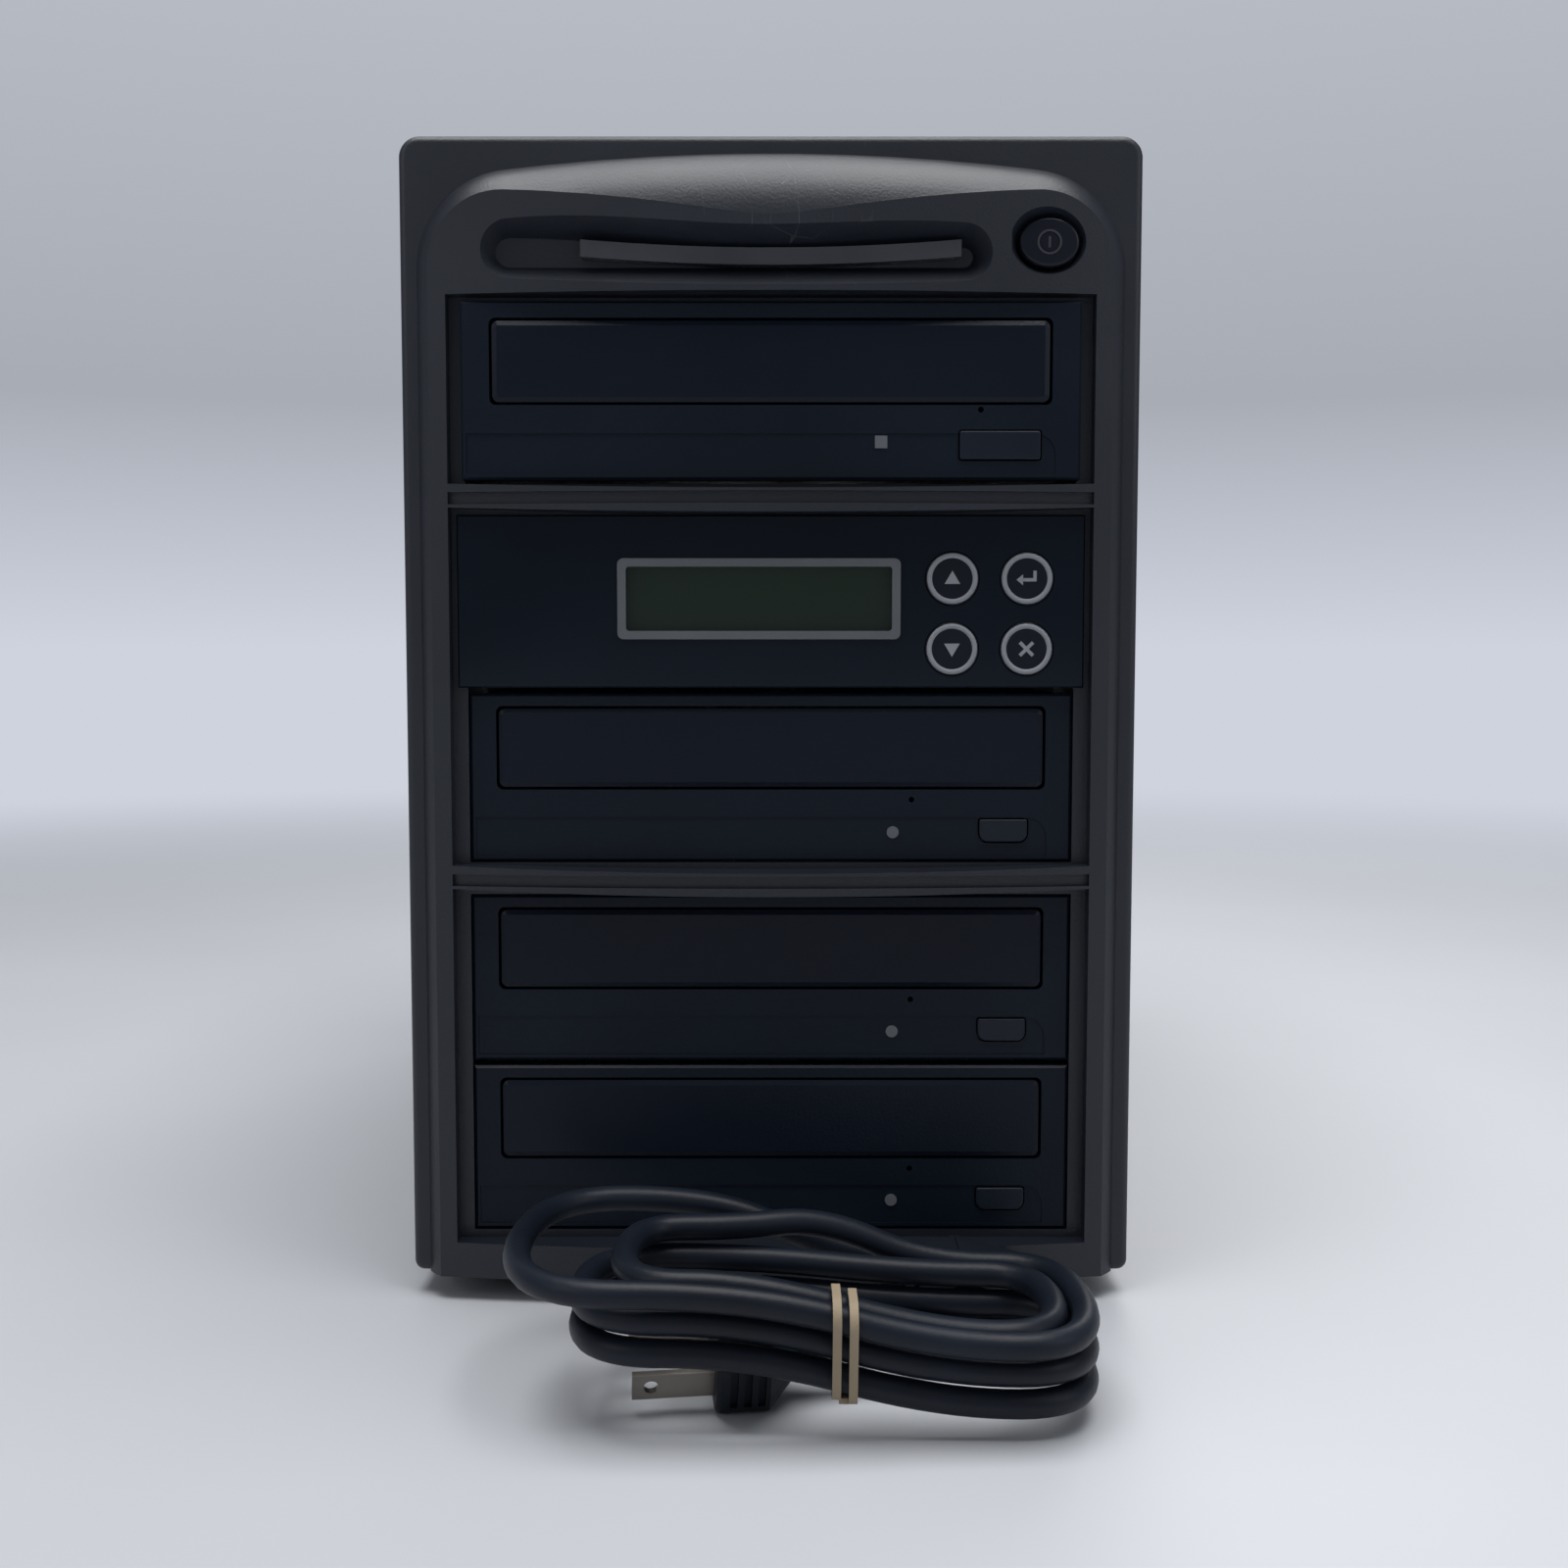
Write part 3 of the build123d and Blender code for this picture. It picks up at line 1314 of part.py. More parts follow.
with BuildPart() as psu_rocker:
    with BuildSketch(Plane.YZ.offset(inlet_x - rocker_width / 2)):
        with BuildLine():
            Polyline(
                rocker_point(2.6, rocker_height / 2),
                rocker_point(1.6, 0),
                rocker_point(2.6, -rocker_height / 2),
                rocker_point(-1.5, -rocker_height / 2 + 0.8),
                rocker_point(-3, -3),
                rocker_point(-3, 3),
                rocker_point(-1.5, rocker_height / 2 - 0.8),
                close=True,
            )
        make_face()
    extrude(amount=rocker_width)
    with BuildSketch(Plane.YZ.offset(inlet_x - rocker_width / 2 - 2)):
        with Locations((rocker_axle_y, rocker_z)):
            Circle(rocker_axle_radius)
    extrude(amount=rocker_width + 4)
psu_rocker.part.label = "psu_rocker"
export_step(psu_rocker.part, "parts/psu_rocker.step")

# ---------------------------------------------------------------- screws and inner cables

bay_screws = [(y, front["z"] + side_screw_z) for front in drive_fronts for y in side_screw_ys]
bay_screws.append((side_screw_ys[0], panel_z + side_screw_z))

with BuildPart() as case_screws:
    for side in (-1, 1):
        with BuildSketch(Plane.YZ.offset(side * (cage_inner + sheet))):
            with Locations(*bay_screws):
                Circle(small_head_radius)
        extrude(amount=side * screw_head_thickness)
        with BuildSketch(Plane.YZ.offset(side * (cage_inner + sheet))):
            with Locations(*bay_screws):
                Circle(screw_radius - 0.1)
        extrude(amount=-side * 4)
    with BuildSketch(facing_front(case_rear_y)):
        with Locations(*psu_screws):
            Circle(small_head_radius)
    extrude(amount=-screw_head_thickness)
    with BuildSketch(facing_front(case_rear_y)):
        with Locations(*psu_screws):
            Circle(screw_radius - 0.1)
    extrude(amount=3.5)
    for fan_name, (fan_x, fan_z, fan_y) in fan_places.items():
        head_y = guard_bases[fan_name] + lug_thickness + guard_wire - 0.1
        with BuildSketch(facing_front(head_y)):
            with Locations((fan_x, fan_z)):
                with GridLocations(fan_holes, fan_holes, 2, 2):
                    Circle(small_head_radius)
        extrude(amount=-screw_head_thickness)
case_screws.part.label = "case_screws"
export_step(case_screws.part, "parts/case_screws.step")

drive_rear_y = casing_front_y + casing_depth
trunk_x = 46.0
trunk_y = drive_rear_y + 10
board_end_y = board_y + board_length
cable_bend = 5.0
data_plug_z = 22.0
power_plug_z = 27.0

with BuildPart() as internal_cables:
    for front, cable_x in zip(drive_fronts, cable_xs):
        casing_end = front["y"] + fascia_depth + casing_depth
        plug_z = front["z"] + data_plug_z
        with BuildSketch(facing_front(casing_end)):
            with Locations((cable_x, plug_z)):
                Rectangle(cable_width + 4, 7)
        extrude(amount=-5)
        drop = 1 if plug_z > cable_z else -1
        with BuildSketch(Plane.YZ.offset(cable_x - cable_width / 2)):
            with BuildLine():
                inner = FilletPolyline(
                    (board_end_y, cable_z),
                    (trunk_y, cable_z),
                    (trunk_y, plug_z),
                    (casing_end + 4.5, plug_z),
                    radius=[cable_bend, 4],
                )
            trace(inner, cable_thickness)
        extrude(amount=cable_width)
    with BuildSketch(Plane.XY.offset(20)):
        with Locations((trunk_x, trunk_y)):
            Circle(3.5)
    extrude(amount=psu_floor + 20 - 20)
    with BuildSketch(facing_front(trunk_y)):
        with Locations((trunk_x, psu_floor + 15)):
            Circle(3.5)
    extrude(amount=-(psu_front_y - trunk_y))
    for front in drive_fronts:
        casing_end = front["y"] + fascia_depth + casing_depth
        with BuildSketch(facing_front(casing_end)):
            with Locations((trunk_x, front["z"] + power_plug_z)):
                Rectangle(22, 8)
        extrude(amount=-(trunk_y - casing_end))
    with BuildSketch(facing_front(board_end_y)):
        with Locations((trunk_x, cable_z)):
            Circle(3)
    extrude(amount=-(trunk_y - board_end_y))
internal_cables.part.label = "internal_cables"
export_step(internal_cables.part, "parts/internal_cables.step")

# ---------------------------------------------------------------- detached power cord

cord_radius = cord_diameter / 2
level_top = hank_top
level_high = level_top - loop_step
level_mid = level_high - loop_step
fall_high = 21.0
fall_mid = fall_high - loop_step
fall_low = fall_mid - loop_step
fall_start = -4.0
fall_end = 35.0
fall_bend = 50.0
right_outer = 67.5
right_inner = 61.0
left_low = -40.5
left_high = -31.5
tail_left = -55.5
strand_front = -88.0
strand_front_inner = -81.5
strand_mid = -84.5
strand_back = -44.7
strand_back_outer = -38.2
tail_y = -23.0

iec_face = (60.0, tail_y, 8.1)
iec_tilt = radians(15)
iec_length = 37.0
plug_tail = (12.0, -63.0, 13.1)
plug_yaw = radians(8)
plug_roll = radians(20)
plug_lead_length = 13.5

tail_start = (
    iec_face[0] - iec_length * cos(iec_tilt),
    tail_y,
    iec_face[2] + iec_length * sin(iec_tilt),
)
tail_knee = (tail_start[0] - 14.5, tail_y, tail_start[2] + 14.5 * sin(iec_tilt) / cos(iec_tilt))
plug_lead = (
    plug_tail[0] + plug_lead_length * cos(plug_yaw),
    plug_tail[1] + plug_lead_length * sin(plug_yaw),
    plug_tail[2],
)


def corner(side):
    """The largest useful bend radius for the two corners at the ends of a side of the loop."""
    return 0.493 * side


# every point of the route with its bend radius: x, y in front of the rim, z
loop_a_left = 28.0
loop_a_right = corner(strand_back_outer - strand_front)
loop_b = corner(strand_back - strand_front_inner)
loop_c = corner(strand_back - strand_mid)
route = [
    (tail_start, 0),
    (tail_knee, 90),
    ((-14, tail_y, level_top), 50),
    ((tail_left, tail_y, level_top), loop_a_left),
    ((tail_left, strand_front, level_top), loop_a_left),
    ((fall_start, strand_front, level_top), fall_bend),
    ((fall_end, strand_front, fall_high), fall_bend),
    ((right_outer, strand_front, fall_high), loop_a_right),
    ((right_outer, strand_back_outer, fall_high), loop_a_right),
    ((36, strand_back_outer, fall_high), 32),
    ((12, strand_back_outer, level_top), 45),
    ((-8, strand_back, level_top), 30),
    ((left_high, strand_back, level_top), loop_b),
    ((left_high, strand_front_inner, level_top), loop_b),
    ((fall_start, strand_front_inner, level_top), fall_bend),
    ((fall_end, strand_front_inner, fall_high), fall_bend),
    ((right_inner, strand_front_inner, fall_high), loop_b),
    ((right_inner, strand_back, fall_high), loop_b),
    ((34, strand_back, fall_high), 150),
    ((-6, strand_back, level_high), 150),
    ((left_low, strand_back, level_high), loop_c),
    ((left_low, strand_mid, level_high), loop_c),
    ((fall_start, strand_mid, level_high), fall_bend),
    ((fall_end, strand_mid, fall_mid), fall_bend),
    ((right_outer, strand_mid, fall_mid), loop_c),
    ((right_outer, strand_back, fall_mid), loop_c),
    ((34, strand_back, fall_mid), 150),
    ((-6, strand_back, level_mid), 150),
    ((left_low, strand_back, level_mid), loop_c),
    ((left_low, strand_mid, level_mid), loop_c),
    ((fall_start, strand_mid, level_mid), fall_bend),
    ((fall_end, strand_mid, fall_low), fall_bend),
    ((right_outer, strand_mid, fall_low), loop_c),
    ((right_outer, strand_back, fall_low), loop_c),
    ((39.5, strand_back, fall_low), 18),
    (plug_lead, 18),
    (plug_tail, 0),
]
route_points = [Vector(x, rim_y + y, z) for (x, y, z), bend in route]
route_radii = [bend for place, bend in route]

with BuildPart() as power_cord:
    with BuildLine() as cord_path:
        FilletPolyline(*route_points, radius=route_radii[1:-1])
    cord_wire = cord_path.wires()[0]
    with BuildSketch(Plane(route_points[0], z_dir=cord_wire % 0)):
        Circle(cord_radius)
    sweep(path=cord_wire)
power_cord.part.label = "power_cord"
export_step(power_cord.part, "parts/power_cord.step")

cord_length = cord_wire.length
samples = int(cord_length)
line_points = [cord_wire @ (step / samples) for step in range(samples + 1)]
apart = int(3 * cord_diameter)
least_gap = min(
    (line_points[first] - line_points[second]).length - cord_diameter
    for first in range(0, samples + 1, 2)
    for second in range(first + apart, samples + 1, 2)
)
print("cord length", round(cord_length, 1), "least gap to itself", round(least_gap, 2))
print("cord bend radii", sorted({round(bend, 1) for bend in route_radii[1:-1]}))
print("cord volume", round(power_cord.part.volume), "section x length", round(pi * cord_radius**2 * cord_length))

# the mains plug and the appliance connector at the cord's two ends
plug_axis = Vector(-cos(plug_yaw), -sin(plug_yaw), 0)
plug_side = Vector(sin(plug_yaw) * cos(plug_roll), -cos(plug_yaw) * cos(plug_roll), -sin(plug_roll))
plug_start = Vector(plug_tail[0], rim_y + plug_tail[1], plug_tail[2])
plug_length = 25.0
plug_relief = 8.0
plug_grip = 13.5
plug_wide = 24.0
plug_tall = 22.0
blade_half_gap = 6.35
blade_low = 4.5
earth_high = 7.4
iec_axis = Vector(-cos(iec_tilt), 0, sin(iec_tilt))
iec_start = Vector(iec_face[0], rim_y + iec_face[1], iec_face[2])
iec_body = 18.0
iec_shoulder = 25.0
iec_width = 23.5
iec_thick = 16.2
band_x = 12.5
band_width = 1.8
band_thickness = 1.0
band_pitch = 3.4
band_ease = 0.6
band_lap = 0.3
band_bridge = 1.2


def plug_plane(along):
    """The plane across the plug at a distance from its tail: X to the viewer, Y up."""
    return Plane(plug_start + plug_axis * along, x_dir=plug_side, z_dir=plug_axis)


def iec_plane(along):
    """The plane across the connector at a distance from its face."""
    return Plane(iec_start + iec_axis * along, x_dir=(0, -1, 0), z_dir=iec_axis)


with BuildPart() as plug_body:
    with BuildSketch(plug_plane(0)):
        Circle(4.2)
    extrude(amount=1.6)
    for rib in range(1, 4):
        with BuildSketch(plug_plane(2.4 * rib - 0.8)):
            Circle(3.6)
        extrude(amount=0.8)
        with BuildSketch(plug_plane(2.4 * rib)):
            Circle(4.2 + 0.5 * rib)
        extrude(amount=1.6)
    with BuildSketch(plug_plane(plug_relief - 0.6)):
        RectangleRounded(14, 13, 5)
    with BuildSketch(plug_plane(plug_grip)):
        RectangleRounded(plug_wide, plug_tall, 5)
    loft()
    with BuildSketch(plug_plane(plug_grip)):
        RectangleRounded(plug_wide, plug_tall, 5)
    extrude(amount=plug_length - plug_grip)
    fillet(plug_body.faces().sort_by(Axis((0, 0, 0), tuple(plug_axis)))[-1].edges(), 1.2)
    for groove in range(3):
        with BuildSketch(plug_plane(plug_grip + 1 + 3 * groove)):
            with Locations((-plug_wide / 2, 0), (plug_wide / 2, 0)):
                Rectangle(2, plug_tall - 8)
        extrude(amount=1.6, mode=Mode.SUBTRACT)
plug_body.part.label = "plug_body"
export_step(plug_body.part, "parts/plug_body.step")

with BuildPart() as plug_blades:
    with BuildSketch(plug_plane(plug_length)):
        with Locations((-blade_half_gap, -blade_low), (blade_half_gap, -blade_low)):
            Rectangle(1.5, 6.35)
    extrude(amount=17.5)
    with BuildSketch(plug_plane(plug_length)):
        with Locations((0, earth_high)):
            Circle(2.4)
    extrude(amount=17)
    with BuildSketch(plug_plane(plug_length + 17)):
        with Locations((0, earth_high)):
            Circle(2.4)
    extrude(amount=3.5, taper=20)
    hole_spot = plug_start + plug_axis * (plug_length + 13.5) - plug_plane(0).y_dir * blade_low
    with BuildSketch(Plane(hole_spot - plug_side * 10, x_dir=plug_axis, z_dir=plug_side)):
        Circle(1.6)
    extrude(amount=20, mode=Mode.SUBTRACT)
plug_blades.part.label = "plug_blades"
export_step(plug_blades.part, "parts/plug_blades.step")

with BuildPart() as iec_connector:
    with BuildSketch(iec_plane(0)):
        with BuildLine():
            Polyline(
                (-iec_width / 2, -iec_thick / 2),
                (iec_width / 2, -iec_thick / 2),
                (iec_width / 2, iec_thick / 2 - 5),
                (iec_width / 2 - 5, iec_thick / 2),
                (-iec_width / 2 + 5, iec_thick / 2),
                (-iec_width / 2, iec_thick / 2 - 5),
                close=True,
            )
        make_face()
    extrude(amount=iec_body)
    with BuildSketch(iec_plane(iec_body)):
        RectangleRounded(iec_width - 2, iec_thick - 1, 3)
    with BuildSketch(iec_plane(iec_shoulder)):
        RectangleRounded(12, 11, 3)
    loft()
    for rib in range(4):
        with BuildSketch(iec_plane(iec_shoulder + 3 * rib - 0.2)):
            Circle(3.6)
        extrude(amount=1.2)
        with BuildSketch(iec_plane(iec_shoulder + 3 * rib + 1)):
            Circle(5.2 - 0.3 * rib)
        extrude(amount=2)
    with BuildSketch(iec_plane(0)):
        with Locations((-7, 1), (7, 1), (0, -3)):
            Rectangle(2.4, 4.8)
    extrude(amount=14, mode=Mode.SUBTRACT)
iec_connector.part.label = "iec_connector"
export_step(iec_connector.part, "parts/iec_connector.step")

band_inner = cord_radius + band_ease
band_outer = band_inner + band_thickness


def band_outline(x, reach):
    """The band's loop round the four front strands, which fall towards the right."""
    share = (x + band_width / 2 - fall_start) / (fall_end - fall_start)
    high = level_top + (fall_high - level_top) * share
    with BuildSketch() as outline:
        Polygon(
            (rim_y + strand_front, high),
            (rim_y + strand_front_inner, high),
            (rim_y + strand_mid, high - 2 * loop_step),
            align=None,
        )
        offset(amount=reach, kind=Kind.ARC)
    return outline.sketch


band_spots = (band_x, band_x + band_pitch)
with BuildPart() as rubber_band:
    for band_spot in band_spots:
        with BuildSketch(Plane.YZ.offset(band_spot)):
            add(band_outline(band_spot, band_outer))
            add(band_outline(band_spot, band_inner), mode=Mode.SUBTRACT)
        extrude(amount=band_width)
    band_low = band_outline(band_x, band_outer).bounding_box().min.Y
    with BuildSketch(Plane.YZ.offset(band_x + band_width - band_lap)):
        with Locations((rim_y + strand_mid, band_low - band_lap / 3)):
            Rectangle(3, band_bridge)
    extrude(amount=band_pitch - band_width + 2 * band_lap)
rubber_band.part.label = "rubber_band"
export_step(rubber_band.part, "parts/rubber_band.step")
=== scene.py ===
from math import cos, radians, sin

import bmesh
import bpy
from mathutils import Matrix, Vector


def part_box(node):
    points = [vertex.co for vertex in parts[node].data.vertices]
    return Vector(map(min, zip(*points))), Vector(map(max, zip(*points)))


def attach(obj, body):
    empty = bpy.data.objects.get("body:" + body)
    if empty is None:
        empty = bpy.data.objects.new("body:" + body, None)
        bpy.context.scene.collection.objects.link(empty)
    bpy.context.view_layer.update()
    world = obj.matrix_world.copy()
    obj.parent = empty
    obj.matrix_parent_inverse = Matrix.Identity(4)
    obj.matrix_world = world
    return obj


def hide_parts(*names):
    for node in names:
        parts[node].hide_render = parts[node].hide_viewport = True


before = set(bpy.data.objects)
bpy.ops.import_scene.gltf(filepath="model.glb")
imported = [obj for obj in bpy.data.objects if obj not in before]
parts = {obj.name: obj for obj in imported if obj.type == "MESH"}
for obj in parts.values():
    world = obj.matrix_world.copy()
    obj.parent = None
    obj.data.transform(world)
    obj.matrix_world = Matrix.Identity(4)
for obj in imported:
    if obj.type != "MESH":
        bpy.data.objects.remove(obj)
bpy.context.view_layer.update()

# ------------------------------------------------------------------ camera
# The photograph is taken from just in front of the tower, a little over half its height up and
# tipped down by a few degrees, with a short lens, so the front fills most of the frame.
camera_data = bpy.data.cameras.new("front_camera")
camera_data.lens = 41.6
camera_data.sensor_width = 36.0
camera_data.shift_x = 0.0084
camera = bpy.data.objects.new("front_camera", camera_data)
camera.location = (0.0, -0.6119, 0.1628)
camera.rotation_euler = (radians(90 - 4.3), 0, 0)
bpy.context.scene.collection.objects.link(camera)
bpy.context.scene.camera = camera


# ------------------------------------------------------------------ power cord
# A three-core vinyl mains lead, 6 mm thick, folded by hand into four loops and left in front of
# the tower. It runs from its appliance connector round the loops to its moulded plug.
def clad(node, material):
    """Gives one of the solid pieces its finish."""
    parts[node].data.materials.clear()
    parts[node].data.materials.append(material)


def fresh(name):
    """A new material with its node tree, its shader and its Object coordinates."""
    material = bpy.data.materials.new(name)
    material.use_nodes = True
    tree = material.node_tree
    place = tree.nodes.new("ShaderNodeTexCoord")
    return material, tree, tree.nodes["Principled BSDF"], place.outputs["Object"]


def noise(tree, place, scale, detail=2):
    """Cloudy noise, this many to the metre."""
    cloud = tree.nodes.new("ShaderNodeTexNoise")
    cloud.inputs["Scale"].default_value = scale
    cloud.inputs["Detail"].default_value = detail
    tree.links.new(place, cloud.inputs["Vector"])
    return cloud.outputs["Fac"]


def tones(tree, share, low, high, start=0.0, end=1.0):
    """A shade between two colours."""
    ramp = tree.nodes.new("ShaderNodeValToRGB")
    ramp.color_ramp.elements[0].position = start
    ramp.color_ramp.elements[1].position = end
    ramp.color_ramp.elements[0].color = (*low, 1)
    ramp.color_ramp.elements[1].color = (*high, 1)
    tree.links.new(share, ramp.inputs["Fac"])
    return ramp.outputs["Color"]


def spread(tree, value, low, high, start=0.0, end=1.0, smooth=False):
    """A value between start and end, mapped to between low and high."""
    mapped = tree.nodes.new("ShaderNodeMapRange")
    mapped.interpolation_type = "SMOOTHSTEP" if smooth else "LINEAR"
    mapped.inputs["From Min"].default_value = start
    mapped.inputs["From Max"].default_value = end
    mapped.inputs["To Min"].default_value = low
    mapped.inputs["To Max"].default_value = high
    tree.links.new(value, mapped.inputs["Value"])
    return mapped.outputs["Result"]


def relief(tree, skin, height, strength, depth):
    """Fine bumps on a skin, at most this deep in metres."""
    bump = tree.nodes.new("ShaderNodeBump")
    bump.inputs["Strength"].default_value = strength
    bump.inputs["Distance"].default_value = depth
    tree.links.new(height, bump.inputs["Height"])
    tree.links.new(bump.outputs["Normal"], skin.inputs["Normal"])


def dark_plastic(name, colour, roughness, grain, bump, uneven=0.25, specular=0.22):
    """Moulded plastic: spark-textured skin, slightly uneven in shade and in gloss."""
    material, tree, skin, place = fresh(name)
    skin.inputs["Specular IOR Level"].default_value = specular
    fine = noise(tree, place, grain, 3)
    wide = noise(tree, place, 22, 4)
    low = [part * (1 - uneven) for part in colour]
    high = [part * (1 + uneven) for part in colour]
    tree.links.new(tones(tree, wide, low, high, 0.3, 0.7), skin.inputs["Base Color"])
    gloss = spread(tree, wide, roughness - 0.08, roughness + 0.08)
    tree.links.new(gloss, skin.inputs["Roughness"])
    relief(tree, skin, fine, bump, 0.0002)
    return material


cord_diameter = 0.006
level_top, level_high, level_mid = 31.8, 25.04, 18.28
fall_high, fall_mid, fall_low = 21.0, 14.24, 7.48
rim = -165.0
cord_route = [
    (24.26, -23, 17.68), (9.76, -23, 21.56), (-14, -23, level_top),
    (-55.5, -23, level_top), (-55.5, -88, level_top), (-4, -88, level_top),
    (35, -88, fall_high), (67.5, -88, fall_high), (67.5, -38.2, fall_high),
    (36, -38.2, fall_high), (12, -38.2, level_top), (-8, -44.7, level_top),
    (-31.5, -44.7, level_top), (-31.5, -81.5, level_top), (-4, -81.5, level_top),
    (35, -81.5, fall_high), (61, -81.5, fall_high), (61, -44.7, fall_high),
    (34, -44.7, fall_high), (-6, -44.7, level_high), (-40.5, -44.7, level_high),
    (-40.5, -84.5, level_high), (-4, -84.5, level_high), (35, -84.5, fall_mid),
    (67.5, -84.5, fall_mid), (67.5, -44.7, fall_mid), (34, -44.7, fall_mid),
    (-6, -44.7, level_mid), (-40.5, -44.7, level_mid), (-40.5, -84.5, level_mid),
    (-4, -84.5, level_mid), (35, -84.5, fall_low), (67.5, -84.5, fall_low),
    (67.5, -44.7, fall_low), (39.5, -44.7, fall_low), (25.37, -61.12, 13.1),
    (12, -63, 13.1),
]
cord_curve = bpy.data.curves.new("mains_lead", "CURVE")
cord_curve.dimensions = "3D"
cord_curve.bevel_depth = cord_diameter / 2
cord_curve.bevel_resolution = 5
cord_curve.resolution_u = 10
cord_line = cord_curve.splines.new("NURBS")
cord_line.points.add(len(cord_route) - 1)
for knot, (x, y, z) in zip(cord_line.points, cord_route):
    knot.co = (x / 1000, (rim + y) / 1000, z / 1000, 1)
cord_line.order_u = 3
cord_line.use_endpoint_u = True
mains_lead = bpy.data.objects.new("mains_lead", cord_curve)
bpy.context.scene.collection.objects.link(mains_lead)
vinyl = dark_plastic("cord_vinyl", (0.007, 0.010, 0.017), 0.42, 900, 0.25, 0.35)
mains_lead.data.materials.append(vinyl)
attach(mains_lead, "tower")
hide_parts("power_cord")

moulding = dark_plastic("plug_moulding", (0.007, 0.010, 0.015), 0.5, 1400, 0.3)
clad("plug_body", moulding)
clad("iec_connector", moulding)


def worn_metal(name, colour, roughness, stretch, metallic=1.0):
    """Bare or plated metal with fine drawn lines along one direction and dull patches."""
    material, tree, skin, place = fresh(name)
    skin.inputs["Metallic"].default_value = metallic
    along = tree.nodes.new("ShaderNodeMapping")
    along.inputs["Scale"].default_value = stretch
    tree.links.new(place, along.inputs["Vector"])
    lines = noise(tree, along.outputs["Vector"], 300, 4)
    patches = noise(tree, place, 30)
    low = [part * 0.8 for part in colour]
    high = [min(1, part * 1.12) for part in colour]
    tree.links.new(tones(tree, patches, low, high), skin.inputs["Base Color"])
    gloss = spread(tree, lines, roughness - 0.1, roughness + 0.15)
    tree.links.new(gloss, skin.inputs["Roughness"])
    relief(tree, skin, lines, 0.12, 0.0001)
    return material


# Painted shade: the blade colour is darkened well below bright nickel, for the shade the cord
# loops throw on the blades.
clad("plug_blades", worn_metal("blade_nickel_painted_shade", (0.34, 0.31, 0.28), 0.34, (1, 6, 6)))
clad("rubber_band", dark_plastic("band_rubber", (0.30, 0.24, 0.165), 0.62, 700, 0.35, 0.12))

# ------------------------------------------------------------------ front bezel
# One injection moulding of black styrene with a fine spark texture, clipped over the case. Its
# raised hood carries a painted highlight at the top of its roll: a lighter patch broken into thin
# streaks.
bezel_black = dark_plastic("bezel_black", (0.008, 0.011, 0.018), 0.45, 1500, 0.4, 0.12, 0.5)
tree = bezel_black.node_tree
skin = tree.nodes["Principled BSDF"]
place = tree.nodes.new("ShaderNodeTexCoord").outputs["Object"]
along = tree.nodes.new("ShaderNodeMapping")
along.inputs["Rotation"].default_value = (0, radians(62), 0)
along.inputs["Scale"].default_value = (1, 1, 0.06)
tree.links.new(place, along.inputs["Vector"])
highlight_streak_cells = tree.nodes.new("ShaderNodeTexVoronoi")
highlight_streak_cells.feature = "DISTANCE_TO_EDGE"
highlight_streak_cells.inputs["Scale"].default_value = 120
tree.links.new(along.outputs["Vector"], highlight_streak_cells.inputs["Vector"])
thin = spread(tree, highlight_streak_cells.outputs["Distance"], 1.0, 0.0, 0.0, 0.012)
# Painted highlight: a lighter grey patch of thin streaks near the crest of the hood roll, where
# the overhead light falls.
painted_highlight_spot = (0.006, -0.175, 0.271)
painted_highlight_core, painted_highlight_reach = 0.006, 0.034
centre = tree.nodes.new("ShaderNodeVectorMath")
centre.operation = "DISTANCE"
centre.inputs[1].default_value = painted_highlight_spot
tree.links.new(place, centre.inputs[0])
near = spread(tree, centre.outputs["Value"], 1.0, 0.0, painted_highlight_core, painted_highlight_reach, smooth=True)
broken = spread(tree, noise(tree, place, 90), 0.0, 1.0, 0.52, 0.62)
where = tree.nodes.new("ShaderNodeMath")
where.operation = "MULTIPLY"
tree.links.new(near, where.inputs[0])
tree.links.new(broken, where.inputs[1])
painted_highlight_lines = tree.nodes.new("ShaderNodeMath")
painted_highlight_lines.operation = "MULTIPLY"
tree.links.new(where.outputs["Value"], painted_highlight_lines.inputs[0])
tree.links.new(thin, painted_highlight_lines.inputs[1])
# The painted highlight colour, mixed over the bezel's own black.
painted_highlight_mix = tree.nodes.new("ShaderNodeMix")
painted_highlight_mix.data_type = "RGBA"
painted_highlight_mix.inputs["B"].default_value = (0.07, 0.075, 0.085, 1)
tree.links.new(painted_highlight_lines.outputs["Value"], painted_highlight_mix.inputs["Factor"])
tree.links.new(skin.inputs["Base Color"].links[0].from_socket, painted_highlight_mix.inputs["A"])
tree.links.new(painted_highlight_mix.outputs["Result"], skin.inputs["Base Color"])
clad("front_bezel", bezel_black)

# ------------------------------------------------------------------ indicator lens
# A smoky translucent bar of acrylic, glued into the pocket of the hood as a light guide. Its
# top edge catches the light.
smoke, tree, skin, place = fresh("lens_smoke")
skin.inputs["Transmission Weight"].default_value = 0.35
skin.inputs["IOR"].default_value = 1.49
haze = noise(tree, place, 60)
tint = tones(tree, haze, (0.06, 0.065, 0.075), (0.10, 0.105, 0.12))
tree.links.new(tint, skin.inputs["Base Color"])
tree.links.new(spread(tree, haze, 0.15, 0.32), skin.inputs["Roughness"])
clad("indicator_lens", smoke)


